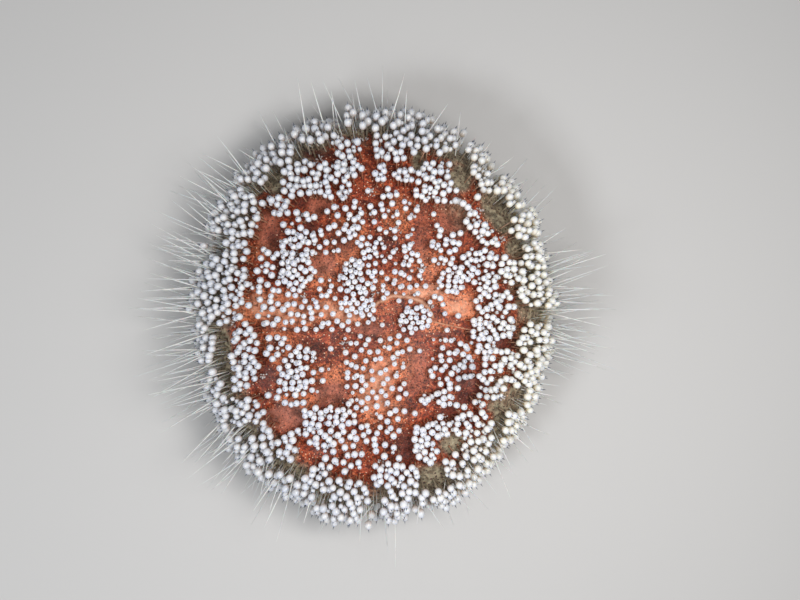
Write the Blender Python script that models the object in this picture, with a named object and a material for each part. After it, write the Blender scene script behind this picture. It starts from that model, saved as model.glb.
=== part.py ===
"""A fire urchin, life size, resting on the blunt spines of its underside.

The body is a soft, flattened cushion. Thin vertical cuts part it into five ambulacra, the narrow fields
that carry the tube feet, and five interambulacra, the wide fields between them. All ten meet a round
apical disc on top and the mouth disc below. Every spine is fused to the node that it grows from.
Bearings are degrees about the body's axis, anticlockwise from +X as seen from above. A share is how far
out from the axis a point lies: 0 on the axis and 1 at the ambitus, the widest line round the body.
"""
import math
import random

import bmesh
import bpy
from mathutils import Vector

# Body, in metres
SKIN_HALF_WIDTH = 0.0770
SKIN_HALF_LENGTH = 0.0890
CROWN_HEIGHT = 0.0590
AMBITUS_HEIGHT = 0.0280
SOLE_HEIGHT = 0.0095
AXIS_X = 0.0060
AXIS_Y = 0.0025
DOME_POWER = 2.3
SOLE_POWER = 3.2
LOBE_BULGE = 0.022
SLOPE_STEP = 0.01

# Division into fields
AMBULACRUM_BEARINGS = (30.0, 102.0, 180.0, 255.0, 325.0)
AMBULACRUM_HALF_ANGLE = 14.0
CORE_RADIUS = 0.0160
CORE_SPLIT_HEIGHT = 0.0300
GAP = 0.0003
AMBULACRUM_STRIPS = 4
INTERAMBULACRUM_STRIPS = 6
UPPER_STEPS = 9
LOWER_STEPS = 6
DISC_COLUMNS = 40
DISC_RINGS = 4

# Short spines that end in a venom sac
STALK_RADIUS = 0.00045
STALK_SIDES = 5
SAC_SPINE_LENGTH = 0.0075
SAC_SPINE_LENGTH_AT_RIM = 0.0105
SAC_RADIUS = 0.0015
SAC_RADIUS_AT_RIM = 0.0018
NECK_PLACE = 0.50
EQUATOR_PLACE = 0.74
OUTWARD_LEAN = 0.30
SIDE_TILT = 0.16
LENGTH_SPREAD = (0.88, 1.08)
SAC_SPREAD = (0.86, 1.10)
ROOT_DEPTH = 0.0020
SAC_SPACING = 0.0057
SCATTERED_SPACING = 0.0088
SAC_CLEARANCE = 0.0036
CUT_MARGIN = 0.0012
PLACING_TRIES = 200
SPINE_SEED = 7
FOOT_SEED = 11
LINE_STEPS = 14

# Where the sacs crowd together: bearings from and to, shares of the fringe's reach from and to
CROWDED_PATCHES = (
    (320, 365, 0.10, 0.25), (110, 150, 0.15, 0.28), (68, 82, 0.22, 0.38), (222, 280, 0.20, 0.38),
    (38, 58, 0.32, 0.52), (12, 35, 0.38, 0.52), (8, 35, 0.54, 0.70), (108, 122, 0.30, 0.50),
    (140, 170, 0.48, 0.65), (202, 220, 0.47, 0.65), (232, 250, 0.58, 0.70), (285, 310, 0.43, 0.57),
    (340, 365, 0.50, 0.72), (279, 295, 0.60, 0.75), (305, 330, 0.58, 0.80), (30, 80, 0.66, 0.78),
    (108, 132, 0.68, 0.84), (190, 220, 0.72, 0.88), (225, 235, 0.80, 0.90), (262, 280, 0.72, 0.85),
    (290, 300, 0.77, 0.90), (142, 190, 0.80, 1.00), (0, 25, 0.82, 0.93), (25, 60, 0.90, 1.00),
    (70, 100, 0.86, 1.00), (110, 140, 0.90, 1.00), (190, 212, 0.92, 1.00), (240, 300, 0.90, 1.00),
    (300, 328, 0.90, 1.00), (328, 352, 0.82, 0.98),
)

# Where they stand singly
SCATTERED_PATCHES = (
    (150, 200, 0.25, 0.75), (222, 275, 0.40, 0.60), (80, 106, 0.30, 0.78), (298, 332, 0.30, 0.56),
    (0, 30, 0.24, 0.36), (330, 345, 0.28, 0.50),
)
FRINGE_SPREAD = 0.115
FRINGE_PULL = 0.125

# One ring of them stands on the flank just below the ambitus
FLANK_SAC_COUNT = 30
FLANK_SHARE = 0.975
FLANK_SPREAD = 0.02
FLANK_DROOP = 0.35

# Long bare spines round the ambitus
LONG_SPINE_RADIUS = 0.00048
LONG_SPINE_TIP_RADIUS = 0.00026
LONG_SPINE_SIDES = 4
LONG_ROOT_DEPTH = 0.0032
LONG_SPINE_CLEARANCE = 0.0020
BARE_TIP_PLACE = 0.82
REACH_HALF_WIDTH = 0.1150
REACH_HALF_LENGTH = 0.1180

# They crowd on some sides: bearings from and to, how many, least and most share of the full reach
LONG_SPINE_SECTORS = (
    (0, 16, 9, 0.80, 0.97), (16, 40, 5, 0.74, 0.92), (40, 80, 8, 0.72, 0.88), (80, 135, 17, 0.76, 0.97),
    (135, 160, 14, 0.80, 0.98), (160, 196, 26, 0.82, 0.99), (196, 222, 16, 0.80, 0.99),
    (222, 240, 10, 0.80, 0.99), (240, 300, 14, 0.74, 0.93), (300, 345, 8, 0.74, 0.92),
    (345, 360, 10, 0.80, 0.98),
)
TIP_SIDESTEP = 5.0

# Where they grow: side of the ambitus, shares from and to, rise in degrees from and to
LONG_SPINE_TIERS = ((True, 0.93, 0.99, -12.0, 6.0), (False, 0.95, 0.99, 2.0, 18.0),
                    (True, 0.93, 0.99, -12.0, 6.0), (False, 0.93, 0.98, 14.0, 30.0))
CARDINAL_BEARINGS = (0.0, 92.0, 180.0, 272.0)
CARDINAL_RISE = 0.0040

# Blunt spines that the body stands on
FOOT_TOP_RADIUS = 0.0009
FOOT_RADIUS = 0.00075
FOOT_HOOF_RADIUS = 0.00115
FOOT_HOOF_HEIGHT = 0.0022
FOOT_SIDES = 5
FOOT_SPLAY = 0.0030
FOOT_SPREAD = 0.03
FOOT_RINGS = ((0.36, 10), (0.52, 14), (0.68, 18), (0.82, 20), (0.93, 14))

# Apical disc and mouth
ANAL_CONE_RADIUS = 0.0046
ANAL_CONE_HEIGHT = 0.0020
PAPILLA_RADIUS = 0.0011
PAPILLA_SHOULDER_RADIUS = 0.0008
PAPILLA_SHOULDER_PLACE = 0.6
PAPILLA_HEIGHT = 0.0018
PAPILLA_RING = 0.0105
PAPILLA_SIDES = 6
LIP_RADIUS = 0.0070
LIP_HEIGHT = 0.0018
MOUTH_HOLLOW_DEPTH = 0.0022
TOOTH_LENGTH = 0.0062
TOOTH_HALF_WIDTH = 0.0011
TOOTH_EDGE_HALF_WIDTH = 0.0009
TOOTH_SIDES = 4
TOOTH_RING = 0.0021
TOOTH_EDGE_RING = 0.0018
TOOTH_EDGE_DROP = 0.0034
TOOTH_TIP_RING = 0.0007
TEETH_TURN = 54.0

# Colours and finishes
AMBULACRUM_COLOUR = (0.52, 0.17, 0.05, 1.0)
INTERAMBULACRUM_COLOUR = (0.33, 0.07, 0.035, 1.0)
APICAL_COLOUR = (0.36, 0.10, 0.05, 1.0)
MOUTH_COLOUR = (0.40, 0.20, 0.11, 1.0)
SKIN_ROUGHNESS = 0.45
SHARP_ANGLE = 35.0


def heading(bearing):
    """The level direction of a bearing."""
    angle = math.radians(bearing)
    return Vector((math.cos(angle), math.sin(angle), 0.0))


def ellipse_distance(bearing, half_width, half_length):
    """How far an ellipse round the middle of the body lies from the axis, along a bearing."""
    way = heading(bearing)
    a = (way.x / half_width) ** 2 + (way.y / half_length) ** 2
    b = AXIS_X * way.x / half_width ** 2 + AXIS_Y * way.y / half_length ** 2
    c = (AXIS_X / half_width) ** 2 + (AXIS_Y / half_length) ** 2 - 1.0
    return (-b + math.sqrt(b * b - a * c)) / a


def skin_reach(bearing):
    """Distance from the axis to the ambitus, before the fields bulge."""
    return ellipse_distance(bearing, SKIN_HALF_WIDTH, SKIN_HALF_LENGTH)


def list_fields():
    """Name, first bearing and last bearing of each of the ten fields, in order round the body."""
    fields = []
    count = len(AMBULACRUM_BEARINGS)
    for index, middle in enumerate(AMBULACRUM_BEARINGS):
        following = AMBULACRUM_BEARINGS[(index + 1) % count]
        if following < middle:
            following += 360.0
        first = middle - AMBULACRUM_HALF_ANGLE
        last = middle + AMBULACRUM_HALF_ANGLE
        fields.append((f"ambulacrum_{index + 1}", first, last))
        fields.append((f"interambulacrum_{index + 1}", last, following - AMBULACRUM_HALF_ANGLE))
    return fields


FIELDS = list_fields()


def field_at(bearing):
    """The field that a bearing lies in, and how far across it, from 0 to 1."""
    for field in FIELDS:
        past = (bearing - field[1]) % 360.0
        width = field[2] - field[1]
        if past < width:
            return field, past / width
    return FIELDS[0], 0.0


def bulge_at(across, share):
    """How much a field swells between its two edges, as a factor."""
    if share <= 0.0:
        return 1.0
    return 1.0 + LOBE_BULGE * math.sin(math.pi * across) * min(1.0, share)


def profile_height(share, below):
    """Height of the smooth body at a share."""
    inside = min(1.0, max(0.0, share))
    if below:
        drop = (1.0 - inside ** SOLE_POWER) ** (1.0 / SOLE_POWER)
        return AMBITUS_HEIGHT - (AMBITUS_HEIGHT - SOLE_HEIGHT) * drop
    rise = (1.0 - inside ** DOME_POWER) ** (1.0 / DOME_POWER)
    return AMBITUS_HEIGHT + (CROWN_HEIGHT - AMBITUS_HEIGHT) * rise


def skin_point(bearing, share, below=False):
    """A point of the skin, measured from the foot of the axis."""
    across = field_at(bearing)[1]
    core_share = CORE_RADIUS / skin_reach(bearing)
    swell = bulge_at(across, (share - core_share) / (1.0 - core_share))
    point = heading(bearing) * share * skin_reach(bearing) * swell
    point.z = profile_height(share, below)
    return point


def skin_normal(bearing, share, below=False):
    """The outward direction of the skin, from its slope along and across a bearing."""
    near = max(0.0, share - SLOPE_STEP)
    far = min(1.0, share + SLOPE_STEP)
    along = skin_point(bearing, far, below) - skin_point(bearing, near, below)
    round_it = skin_point(bearing + 1.0, share, below) - skin_point(bearing - 1.0, share, below)
    normal = along.cross(round_it)
    if below:
        normal.negate()
    return normal.normalized()


def finish(name, colour):
    """A plain skin material for one node."""
    material = bpy.data.materials.new(name)
    material.use_nodes = True
    shader = material.node_tree.nodes["Principled BSDF"]
    shader.inputs["Base Color"].default_value = colour
    shader.inputs["Roughness"].default_value = SKIN_ROUGHNESS
    shader.inputs["Metallic"].default_value = 0.0
    return material


def mesh_object(name, shape):
    """Turn a bmesh into an object, with its faces pointing outwards."""
    bmesh.ops.recalc_face_normals(shape, faces=shape.faces[:])
    mesh = bpy.data.meshes.new(name)
    shape.to_mesh(mesh)
    shape.free()
    node = bpy.data.objects.new(name, mesh)
    bpy.context.scene.collection.objects.link(node)
    return node


def bridge(shape, first, second, closed=True):
    """Faces between two rows of points, corner to corner."""
    count = len(first)
    for index in range(count if closed else count - 1):
        following = (index + 1) % count
        shape.faces.new((first[index], first[following], second[following], second[index]))


def turned_piece(shape, places, radii, sides, twist=0.0, level=False):
    """A closed, few-sided rod through the places. A last radius of 0 makes a point."""
    axis = (places[-1] - places[0]).normalized()
    if level:
        axis = Vector((0.0, 0.0, -1.0))
    helper = Vector((0.0, 0.0, 1.0)) if abs(axis.z) < 0.9 else Vector((1.0, 0.0, 0.0))
    side = axis.cross(helper).normalized()
    other = axis.cross(side)
    rings = []
    for place, radius in zip(places, radii):
        if radius == 0.0:
            tip = shape.verts.new(place)
            for index in range(sides):
                shape.faces.new((rings[-1][index], rings[-1][(index + 1) % sides], tip))
            continue
        ring = []
        for index in range(sides):
            angle = twist + 2.0 * math.pi * index / sides
            ring.append(shape.verts.new(place + radius * (side * math.cos(angle) + other * math.sin(angle))))
        if rings:
            bridge(shape, rings[-1], ring)
        rings.append(ring)
    shape.faces.new(rings[0])
    if radii[-1] != 0.0:
        shape.faces.new(rings[-1])


def field_body(name, first, last, strips):
    """One wedge of the cushion: skin above and below, an inner wall and two cut faces."""
    shape = bmesh.new()
    columns = []
    for strip in range(strips + 1):
        bearing = first + (last - first) * strip / strips
        core_share = CORE_RADIUS / skin_reach(bearing)
        inset = Vector((0.0, 0.0, 0.0))
        if strip == 0:
            inset = heading(bearing + 90.0) * GAP / 2
        if strip == strips:
            inset = heading(bearing - 90.0) * GAP / 2
        column = []
        for below, steps, power in ((False, UPPER_STEPS, DOME_POWER), (True, LOWER_STEPS, SOLE_POWER)):
            start = math.acos(core_share ** (power / 2.0))
            for step in range(steps + 1):
                turn = start * step / steps if below else start * (1.0 - step / steps)
                if below and step == 0:
                    continue
                share = math.cos(turn) ** (2.0 / power)
                place = skin_point(min(max(bearing, first + 0.001), last - 0.001), share, below)
                column.append(shape.verts.new(place + inset))
        columns.append(column)
    for before, after in zip(columns, columns[1:]):
        bridge(shape, before, after)
    shape.faces.new(columns[0])
    shape.faces.new(columns[-1])
    return mesh_object(name, shape)


def disc_body(name, surface, depth_height):
    """A round plug whose outer face follows a surface and whose inner face is flat."""
    shape = bmesh.new()
    radius = CORE_RADIUS - GAP
    middle = shape.verts.new(surface(0.0, 0.0))
    rings = []
    for ring_index in range(1, DISC_RINGS + 1):
        distance = radius * ring_index / DISC_RINGS
        ring = []
        for column in range(DISC_COLUMNS):
            ring.append(shape.verts.new(surface(360.0 * column / DISC_COLUMNS, distance)))
        rings.append(ring)
    for column in range(DISC_COLUMNS):
        shape.faces.new((middle, rings[0][column], rings[0][(column + 1) % DISC_COLUMNS]))
    for inner, outer in zip(rings, rings[1:]):
        bridge(shape, inner, outer)
    back = [shape.verts.new((point.co.x, point.co.y, depth_height)) for point in rings[-1]]
    bridge(shape, rings[-1], back)
    shape.faces.new(back)
    return mesh_object(name, shape)


def apical_surface(bearing, distance):
    """The top of the apical disc: the crown with the low anal cone on its middle."""
    point = heading(bearing) * distance
    point.z = profile_height(distance / skin_reach(bearing), False)
    if distance < ANAL_CONE_RADIUS:
        point.z += ANAL_CONE_HEIGHT * (1.0 - distance / ANAL_CONE_RADIUS)
    return point


def mouth_surface(bearing, distance):
    """The under face of the mouth disc: a lip round a shallow hollow."""
    point = heading(bearing) * distance
    point.z = profile_height(distance / skin_reach(bearing), True)
    across = distance / LIP_RADIUS
    if across < 1.0:
        point.z += MOUTH_HOLLOW_DEPTH * (1.0 - across) - LIP_HEIGHT * math.sin(math.pi * across)
    return point


def segment_distance(first, second):
    """Shortest distance between two straight stretches, found by stepping along the first."""
    start, end = first
    other_start, other_end = second
    other = other_end - other_start
    least = float("inf")
    for step in range(LINE_STEPS + 1):
        point = start.lerp(end, step / LINE_STEPS)
        along = (point - other_start).dot(other) / other.length_squared
        nearest = other_start.lerp(other_end, min(1.0, max(0.0, along)))
        least = min(least, (point - nearest).length)
    return least


def clear_of_cuts(root):
    """Whether a root keeps off the cuts between fields and off the rim of the round discs."""
    distance = math.hypot(root.x, root.y)
    if abs(distance - CORE_RADIUS) < CUT_MARGIN + GAP:
        return False
    if distance < CORE_RADIUS:
        return True
    bearing = math.degrees(math.atan2(root.y, root.x))
    field, across = field_at(bearing)
    width = math.radians(field[2] - field[1])
    from_edge = distance * math.sin(min(across, 1.0 - across) * width)
    return from_edge > CUT_MARGIN


def node_name(root, below=False):
    """The node that a root stands on."""
    if math.hypot(root.x, root.y) < CORE_RADIUS:
        return "mouth_disc" if below else "apical_disc"
    return field_at(math.degrees(math.atan2(root.y, root.x)))[0][0]


def fringe_to_root(seen):
    """The share of a root whose sac is seen at a share of the fringe's reach."""
    return min(0.999, seen * (1.0 + FRINGE_SPREAD - FRINGE_PULL * seen * seen))


def sac_spine(root, normal, share, draw):
    """Places and radii along one spine with a venom sac."""
    growth = share * share
    length = SAC_SPINE_LENGTH + (SAC_SPINE_LENGTH_AT_RIM - SAC_SPINE_LENGTH) * growth
    length *= draw.uniform(*LENGTH_SPREAD)
    sac = SAC_RADIUS + (SAC_RADIUS_AT_RIM - SAC_RADIUS) * growth
    sac *= draw.uniform(*SAC_SPREAD)
    outward = Vector((root.x, root.y, 0.0)).normalized()
    tilt = Vector((draw.uniform(-1, 1), draw.uniform(-1, 1), 0.0)) * SIDE_TILT
    way = (normal + outward * OUTWARD_LEAN * share + tilt).normalized()
    places = [root - normal * ROOT_DEPTH]
    for place in (NECK_PLACE, EQUATOR_PLACE, 1.0):
        places.append(root + way * length * place)
    return places, [STALK_RADIUS, STALK_RADIUS, sac, 0.0]


def place_sacs(pieces, taken, draw):
    """Fill the patches with sac spines that keep their distance from one another."""
    for patches, spacing in ((CROWDED_PATCHES, SAC_SPACING), (SCATTERED_PATCHES, SCATTERED_SPACING)):
        for first, last, near, far in patches:
            for _ in range(PLACING_TRIES):
                bearing = draw.uniform(first, last)
                share = fringe_to_root(math.sqrt(draw.uniform(near * near, far * far)))
                root = skin_point(bearing, share)
                if not clear_of_cuts(root):
                    continue
                if any((root - other[0]).length < spacing for other in taken):
                    continue
                normal = skin_normal(bearing, share)
                places, radii = sac_spine(root, normal, share, draw)
                line = (root, places[-1])
                if any(segment_distance(line, other) < SAC_CLEARANCE for other in taken):
                    continue
                taken.append(line)
                pieces[node_name(root)].append((places, radii, STALK_SIDES, False))


def place_flank_sacs(pieces, taken, draw):
    """A ring of sac spines that point outwards from just below the ambitus."""
    for index in range(FLANK_SAC_COUNT):
        for _ in range(PLACING_TRIES):
            bearing = 360.0 * (index + draw.uniform(0.1, 0.9)) / FLANK_SAC_COUNT
            share = FLANK_SHARE + draw.uniform(-FLANK_SPREAD, FLANK_SPREAD)
            root = skin_point(bearing, share, True)
            way = heading(bearing)
            way.z = -FLANK_DROOP
            places, radii = sac_spine(root, way.normalized(), share, draw)
            line = (root, places[-1])
            if not clear_of_cuts(root):
                continue
            if any(segment_distance(line, other) < SAC_CLEARANCE for other in taken):
                continue
            taken.append(line)
            pieces[node_name(root)].append((places, radii, STALK_SIDES, False))
            break


def long_spine(root, tip):
    """Places and radii along one long bare spine."""
    way = (tip - root).normalized()
    places = [root - way * LONG_ROOT_DEPTH, root.lerp(tip, BARE_TIP_PLACE), tip]
    return places, [LONG_SPINE_RADIUS, LONG_SPINE_TIP_RADIUS, 0.0]


def reach_point(bearing, factor, height):
    """A point at a factor of the reach of the longest spines, measured from the axis."""
    distance = ellipse_distance(bearing, REACH_HALF_WIDTH, REACH_HALF_LENGTH)
    point = heading(bearing) * distance * factor
    point.z = height
    return point


def place_long_spines(pieces, taken, draw):
    """Four spines that reach the full size, then tiers of shorter ones in each sector."""
    for bearing in CARDINAL_BEARINGS:
        root = skin_point(bearing, 0.995)
        tip = root.copy()
        way = heading(bearing)
        if abs(way.x) > abs(way.y):
            tip.x = math.copysign(REACH_HALF_WIDTH, way.x) - AXIS_X
        else:
            tip.y = math.copysign(REACH_HALF_LENGTH, way.y) - AXIS_Y
        tip.z += CARDINAL_RISE
        places, radii = long_spine(root, tip)
        taken.append((root, tip))
        pieces[node_name(root)].append((places, radii, LONG_SPINE_SIDES, False))
    for first, last, count, least, most in LONG_SPINE_SECTORS:
        for index in range(count):
            tier = LONG_SPINE_TIERS[index % len(LONG_SPINE_TIERS)]
            below, low_share, high_share, low_rise, high_rise = tier
            for _ in range(PLACING_TRIES):
                bearing = first + (last - first) * (index + draw.random()) / count
                root = skin_point(bearing, draw.uniform(low_share, high_share), below)
                tip_bearing = bearing + draw.uniform(-TIP_SIDESTEP, TIP_SIDESTEP)
                tip = reach_point(tip_bearing, draw.uniform(least, most), root.z)
                level_run = math.hypot(tip.x - root.x, tip.y - root.y)
                tip.z = root.z + level_run * math.tan(math.radians(draw.uniform(low_rise, high_rise)))
                if not clear_of_cuts(root):
                    continue
                if any(segment_distance((root, tip), other) < LONG_SPINE_CLEARANCE for other in taken):
                    continue
                taken.append((root, tip))
                places, radii = long_spine(root, tip)
                pieces[node_name(root)].append((places, radii, LONG_SPINE_SIDES, False))
                break


def place_feet(pieces, draw):
    """Rings of blunt spines under the body, each ending in a flat on the floor."""
    for share, count in FOOT_RINGS:
        for index in range(count):
            for _ in range(PLACING_TRIES):
                bearing = 360.0 * (index + draw.uniform(0.2, 0.8)) / count
                root = skin_point(bearing, share + draw.uniform(-FOOT_SPREAD, FOOT_SPREAD), True)
                if clear_of_cuts(root):
                    break
            foot = root + heading(bearing) * FOOT_SPLAY * share
            foot.z = 0.0
            knee = root.lerp(foot, 1.0 - FOOT_HOOF_HEIGHT / root.z)
            top = root.lerp(foot, -ROOT_DEPTH / root.z)
            radii = [FOOT_TOP_RADIUS, FOOT_RADIUS, FOOT_HOOF_RADIUS]
            pieces[node_name(root, True)].append(([top, knee, foot], radii, FOOT_SIDES, True))


def place_papillae(pieces):
    """One small papilla on the apical disc at the head of each interambulacrum."""
    for name, first, last in FIELDS:
        if not name.startswith("inter"):
            continue
        middle = (first + last) / 2
        root = apical_surface(middle, PAPILLA_RING)
        low = root - Vector((0.0, 0.0, ROOT_DEPTH))
        high = root + Vector((0.0, 0.0, PAPILLA_HEIGHT))
        shoulder = root.lerp(high, PAPILLA_SHOULDER_PLACE)
        radii = [PAPILLA_RADIUS, PAPILLA_SHOULDER_RADIUS, 0.0]
        pieces["apical_disc"].append(([low, shoulder, high], radii, PAPILLA_SIDES, False))


def place_teeth(pieces):
    """The five tooth tips that show in the mouth, leaning together."""
    for index in range(len(AMBULACRUM_BEARINGS)):
        way = heading(360.0 * index / len(AMBULACRUM_BEARINGS) + TEETH_TURN)
        top = way * TOOTH_RING
        top.z = SOLE_HEIGHT + MOUTH_HOLLOW_DEPTH + ROOT_DEPTH
        edge = way * TOOTH_EDGE_RING
        edge.z = top.z - TOOTH_EDGE_DROP
        tip = way * TOOTH_TIP_RING
        tip.z = top.z - TOOTH_LENGTH
        radii = [TOOTH_HALF_WIDTH, TOOTH_EDGE_HALF_WIDTH, 0.0]
        pieces["mouth_disc"].append(([top, edge, tip], radii, TOOTH_SIDES, False))


def largest_surface(mesh):
    """Keep only the largest closed surface of a mesh."""
    shape = bmesh.new()
    shape.from_mesh(mesh)
    left = set(shape.faces)
    groups = []
    while left:
        group = {left.pop()}
        edge = list(group)
        while edge:
            face = edge.pop()
            for side in face.edges:
                for neighbour in side.link_faces:
                    if neighbour in left:
                        left.remove(neighbour)
                        group.add(neighbour)
                        edge.append(neighbour)
        groups.append(group)
    groups.sort(key=lambda group: sum(face.calc_area() for face in group))
    extra = [face for group in groups[:-1] for face in group]
    bmesh.ops.delete(shape, geom=extra, context="FACES")
    bmesh.ops.triangulate(shape, faces=shape.faces[:])
    shape.to_mesh(mesh)
    shape.free()
    return len(groups) - 1


def fuse(node, recipes, draw):
    """Join a node's spines to it with one Boolean union on a collection of closed pieces."""
    gathered = bpy.data.collections.new(node.name + "_pieces")
    for index, (places, radii, sides, level) in enumerate(recipes):
        shape = bmesh.new()
        turned_piece(shape, places, radii, sides, draw.uniform(0.0, 1.2), level)
        piece = mesh_object(f"{node.name}_piece_{index}", shape)
        bpy.context.scene.collection.objects.unlink(piece)
        gathered.objects.link(piece)
    union = node.modifiers.new("Join spines", "BOOLEAN")
    union.operation = "UNION"
    union.operand_type = "COLLECTION"
    union.collection = gathered
    union.solver = "EXACT"
    joined = bpy.data.meshes.new_from_object(node.evaluated_get(bpy.context.evaluated_depsgraph_get()))
    node.modifiers.remove(union)
    plain = node.data
    node.data = joined
    bpy.data.meshes.remove(plain)
    for piece in list(gathered.objects):
        bpy.data.objects.remove(piece)
    bpy.data.collections.remove(gathered)
    dropped = largest_surface(node.data)
    print(node.name, "joined", len(recipes), "pieces, triangles", len(node.data.polygons), "dropped", dropped)


def dress(node, colour, axis):
    """Material, smooth shading and place of a finished node."""
    node.data.materials.clear()
    node.data.materials.append(finish(node.name + "_skin", colour))
    node.data.shade_smooth()
    node.data.set_sharp_from_angle(angle=math.radians(SHARP_ANGLE))
    node.parent = axis


def main():
    for old in list(bpy.data.objects):
        bpy.data.objects.remove(old)
    draw = random.Random(SPINE_SEED)
    axis = bpy.data.objects.new("body_axis", None)
    bpy.context.scene.collection.objects.link(axis)
    axis.location = (AXIS_X, AXIS_Y, 0.0)

    pieces = {name: [] for name, _, _ in FIELDS}
    pieces["apical_disc"] = []
    pieces["mouth_disc"] = []
    taken = []
    place_long_spines(pieces, taken, draw)
    place_sacs(pieces, taken, draw)
    place_flank_sacs(pieces, taken, draw)
    place_feet(pieces, random.Random(FOOT_SEED))
    place_papillae(pieces)
    place_teeth(pieces)

    for name, first, last in FIELDS:
        wide = name.startswith("inter")
        strips = INTERAMBULACRUM_STRIPS if wide else AMBULACRUM_STRIPS
        node = field_body(name, first, last, strips)
        fuse(node, pieces[name], draw)
        dress(node, INTERAMBULACRUM_COLOUR if wide else AMBULACRUM_COLOUR, axis)
    top = disc_body("apical_disc", apical_surface, CORE_SPLIT_HEIGHT + GAP / 2)
    fuse(top, pieces["apical_disc"], draw)
    dress(top, APICAL_COLOUR, axis)
    mouth = disc_body("mouth_disc", mouth_surface, CORE_SPLIT_HEIGHT - GAP / 2)
    fuse(mouth, pieces["mouth_disc"], draw)
    dress(mouth, MOUTH_COLOUR, axis)


main()
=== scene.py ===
# %% [markdown]
# # A fire urchin, seen from above
#
# This lesson dresses the solid model of a fire urchin: a soft, flattened sea urchin whose upper side is
# crowded with short spines, each with a pale venom sac at its end. The solids give the size, the pose and
# the main spines. Here they get one living skin, nearly three thousand sacs, the bristle-thin spines of
# the rim, and the blunt spines, tube feet and mouth of the under side.

# %% Load the frame
import math
import random
import bpy
import numpy as np
from mathutils import Matrix, Vector, noise


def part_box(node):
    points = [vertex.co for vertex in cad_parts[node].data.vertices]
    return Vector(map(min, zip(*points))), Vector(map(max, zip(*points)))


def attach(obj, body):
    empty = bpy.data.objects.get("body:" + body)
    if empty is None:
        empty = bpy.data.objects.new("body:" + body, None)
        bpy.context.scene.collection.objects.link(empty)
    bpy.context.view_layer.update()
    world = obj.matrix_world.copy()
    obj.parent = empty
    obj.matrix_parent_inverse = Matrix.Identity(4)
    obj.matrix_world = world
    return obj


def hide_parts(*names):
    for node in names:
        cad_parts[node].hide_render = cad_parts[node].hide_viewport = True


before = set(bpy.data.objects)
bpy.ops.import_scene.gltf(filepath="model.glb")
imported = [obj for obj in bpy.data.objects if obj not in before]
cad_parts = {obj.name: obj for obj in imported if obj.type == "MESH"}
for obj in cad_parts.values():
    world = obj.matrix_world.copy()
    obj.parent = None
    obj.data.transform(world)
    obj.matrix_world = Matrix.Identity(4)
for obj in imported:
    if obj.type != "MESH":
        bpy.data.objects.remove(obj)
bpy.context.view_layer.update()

# %% [markdown]
# ## The camera
#
# The photograph looks almost straight down from a little to the lower left. The middle of the urchin lies
# at a known pixel, and a pixel is a known number of millimetres at the level of its widest line, so the
# point that the camera aims at follows from those. The lens then comes from the width of the view.

# %% Camera
PHOTO_WIDTH = 800
PHOTO_HEIGHT = 600
METRES_PER_PIXEL = 0.000478
DISC_MIDDLE_PIXEL = (375, 315)
AMBITUS_HEIGHT = 0.0280
CAMERA_DISTANCE = 0.60
CAMERA_TILT = math.radians(5.5)
CAMERA_SIDE = Vector((-0.85, -0.52, 0.0)).normalized()
SENSOR_WIDTH = 36.0

aim = Vector((
    (PHOTO_WIDTH / 2 - DISC_MIDDLE_PIXEL[0]) * METRES_PER_PIXEL,
    (DISC_MIDDLE_PIXEL[1] - PHOTO_HEIGHT / 2) * METRES_PER_PIXEL,
    AMBITUS_HEIGHT,
))
camera_data = bpy.data.cameras.new("view_from_above")
camera_data.sensor_width = SENSOR_WIDTH
camera_data.lens = SENSOR_WIDTH * CAMERA_DISTANCE / (PHOTO_WIDTH * METRES_PER_PIXEL)
camera = bpy.data.objects.new("view_from_above", camera_data)
bpy.context.scene.collection.objects.link(camera)
bpy.context.scene.camera = camera
sight = CAMERA_SIDE * math.sin(CAMERA_TILT) + Vector((0.0, 0.0, math.cos(CAMERA_TILT)))
camera.location = aim + sight * CAMERA_DISTANCE
right = Vector((0.0, 1.0, 0.0)).cross(sight).normalized()
upward = sight.cross(right)
camera.rotation_euler = Matrix((right, upward, sight)).transposed().to_euler()
print("lens", round(camera_data.lens, 1), "mm, aimed at", [round(value, 4) for value in aim])

# %% [markdown]
# ## Floor and light
#
# A plain, pale grey floor and soft studio light. The key lamp hangs almost straight above, a little right
# of the middle, where the photograph's sacs are brightest. A cooler lamp at the lower left gives every sac
# a soft shadow to its upper right, and an even, pale world fills the shadows. The floor isn't quite white,
# so that the pale bristles of the rim still show against it.

# %% Floor and lights
FLOOR_SIZE = 20.0
FLOOR_COLOUR = (0.62, 0.61, 0.60, 1.0)
FLOOR_ROUGHNESS = 0.85
# name, place, size, watts, colour
LAMPS = (
    ("key_lamp", (0.13, -0.03, 0.52), 0.20, 1.80, (1.0, 0.985, 0.965)),
    ("side_lamp", (-0.46, -0.38, 0.74), 0.22, 3.30, (0.94, 0.97, 1.0)),
)
WORLD_COLOUR = (0.93, 0.96, 1.0, 1.0)
WORLD_STRENGTH = 0.20

bpy.ops.object.select_all(action="DESELECT")
bpy.ops.mesh.primitive_plane_add(size=FLOOR_SIZE, location=(0.0, 0.0, 0.0))
floor = bpy.context.object
floor.name = "floor"
floor_finish = bpy.data.materials.new("pale_floor")
floor_finish.use_nodes = True
floor_shader = floor_finish.node_tree.nodes["Principled BSDF"]
floor_shader.inputs["Base Color"].default_value = FLOOR_COLOUR
floor_shader.inputs["Roughness"].default_value = FLOOR_ROUGHNESS
floor.data.materials.append(floor_finish)

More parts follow.
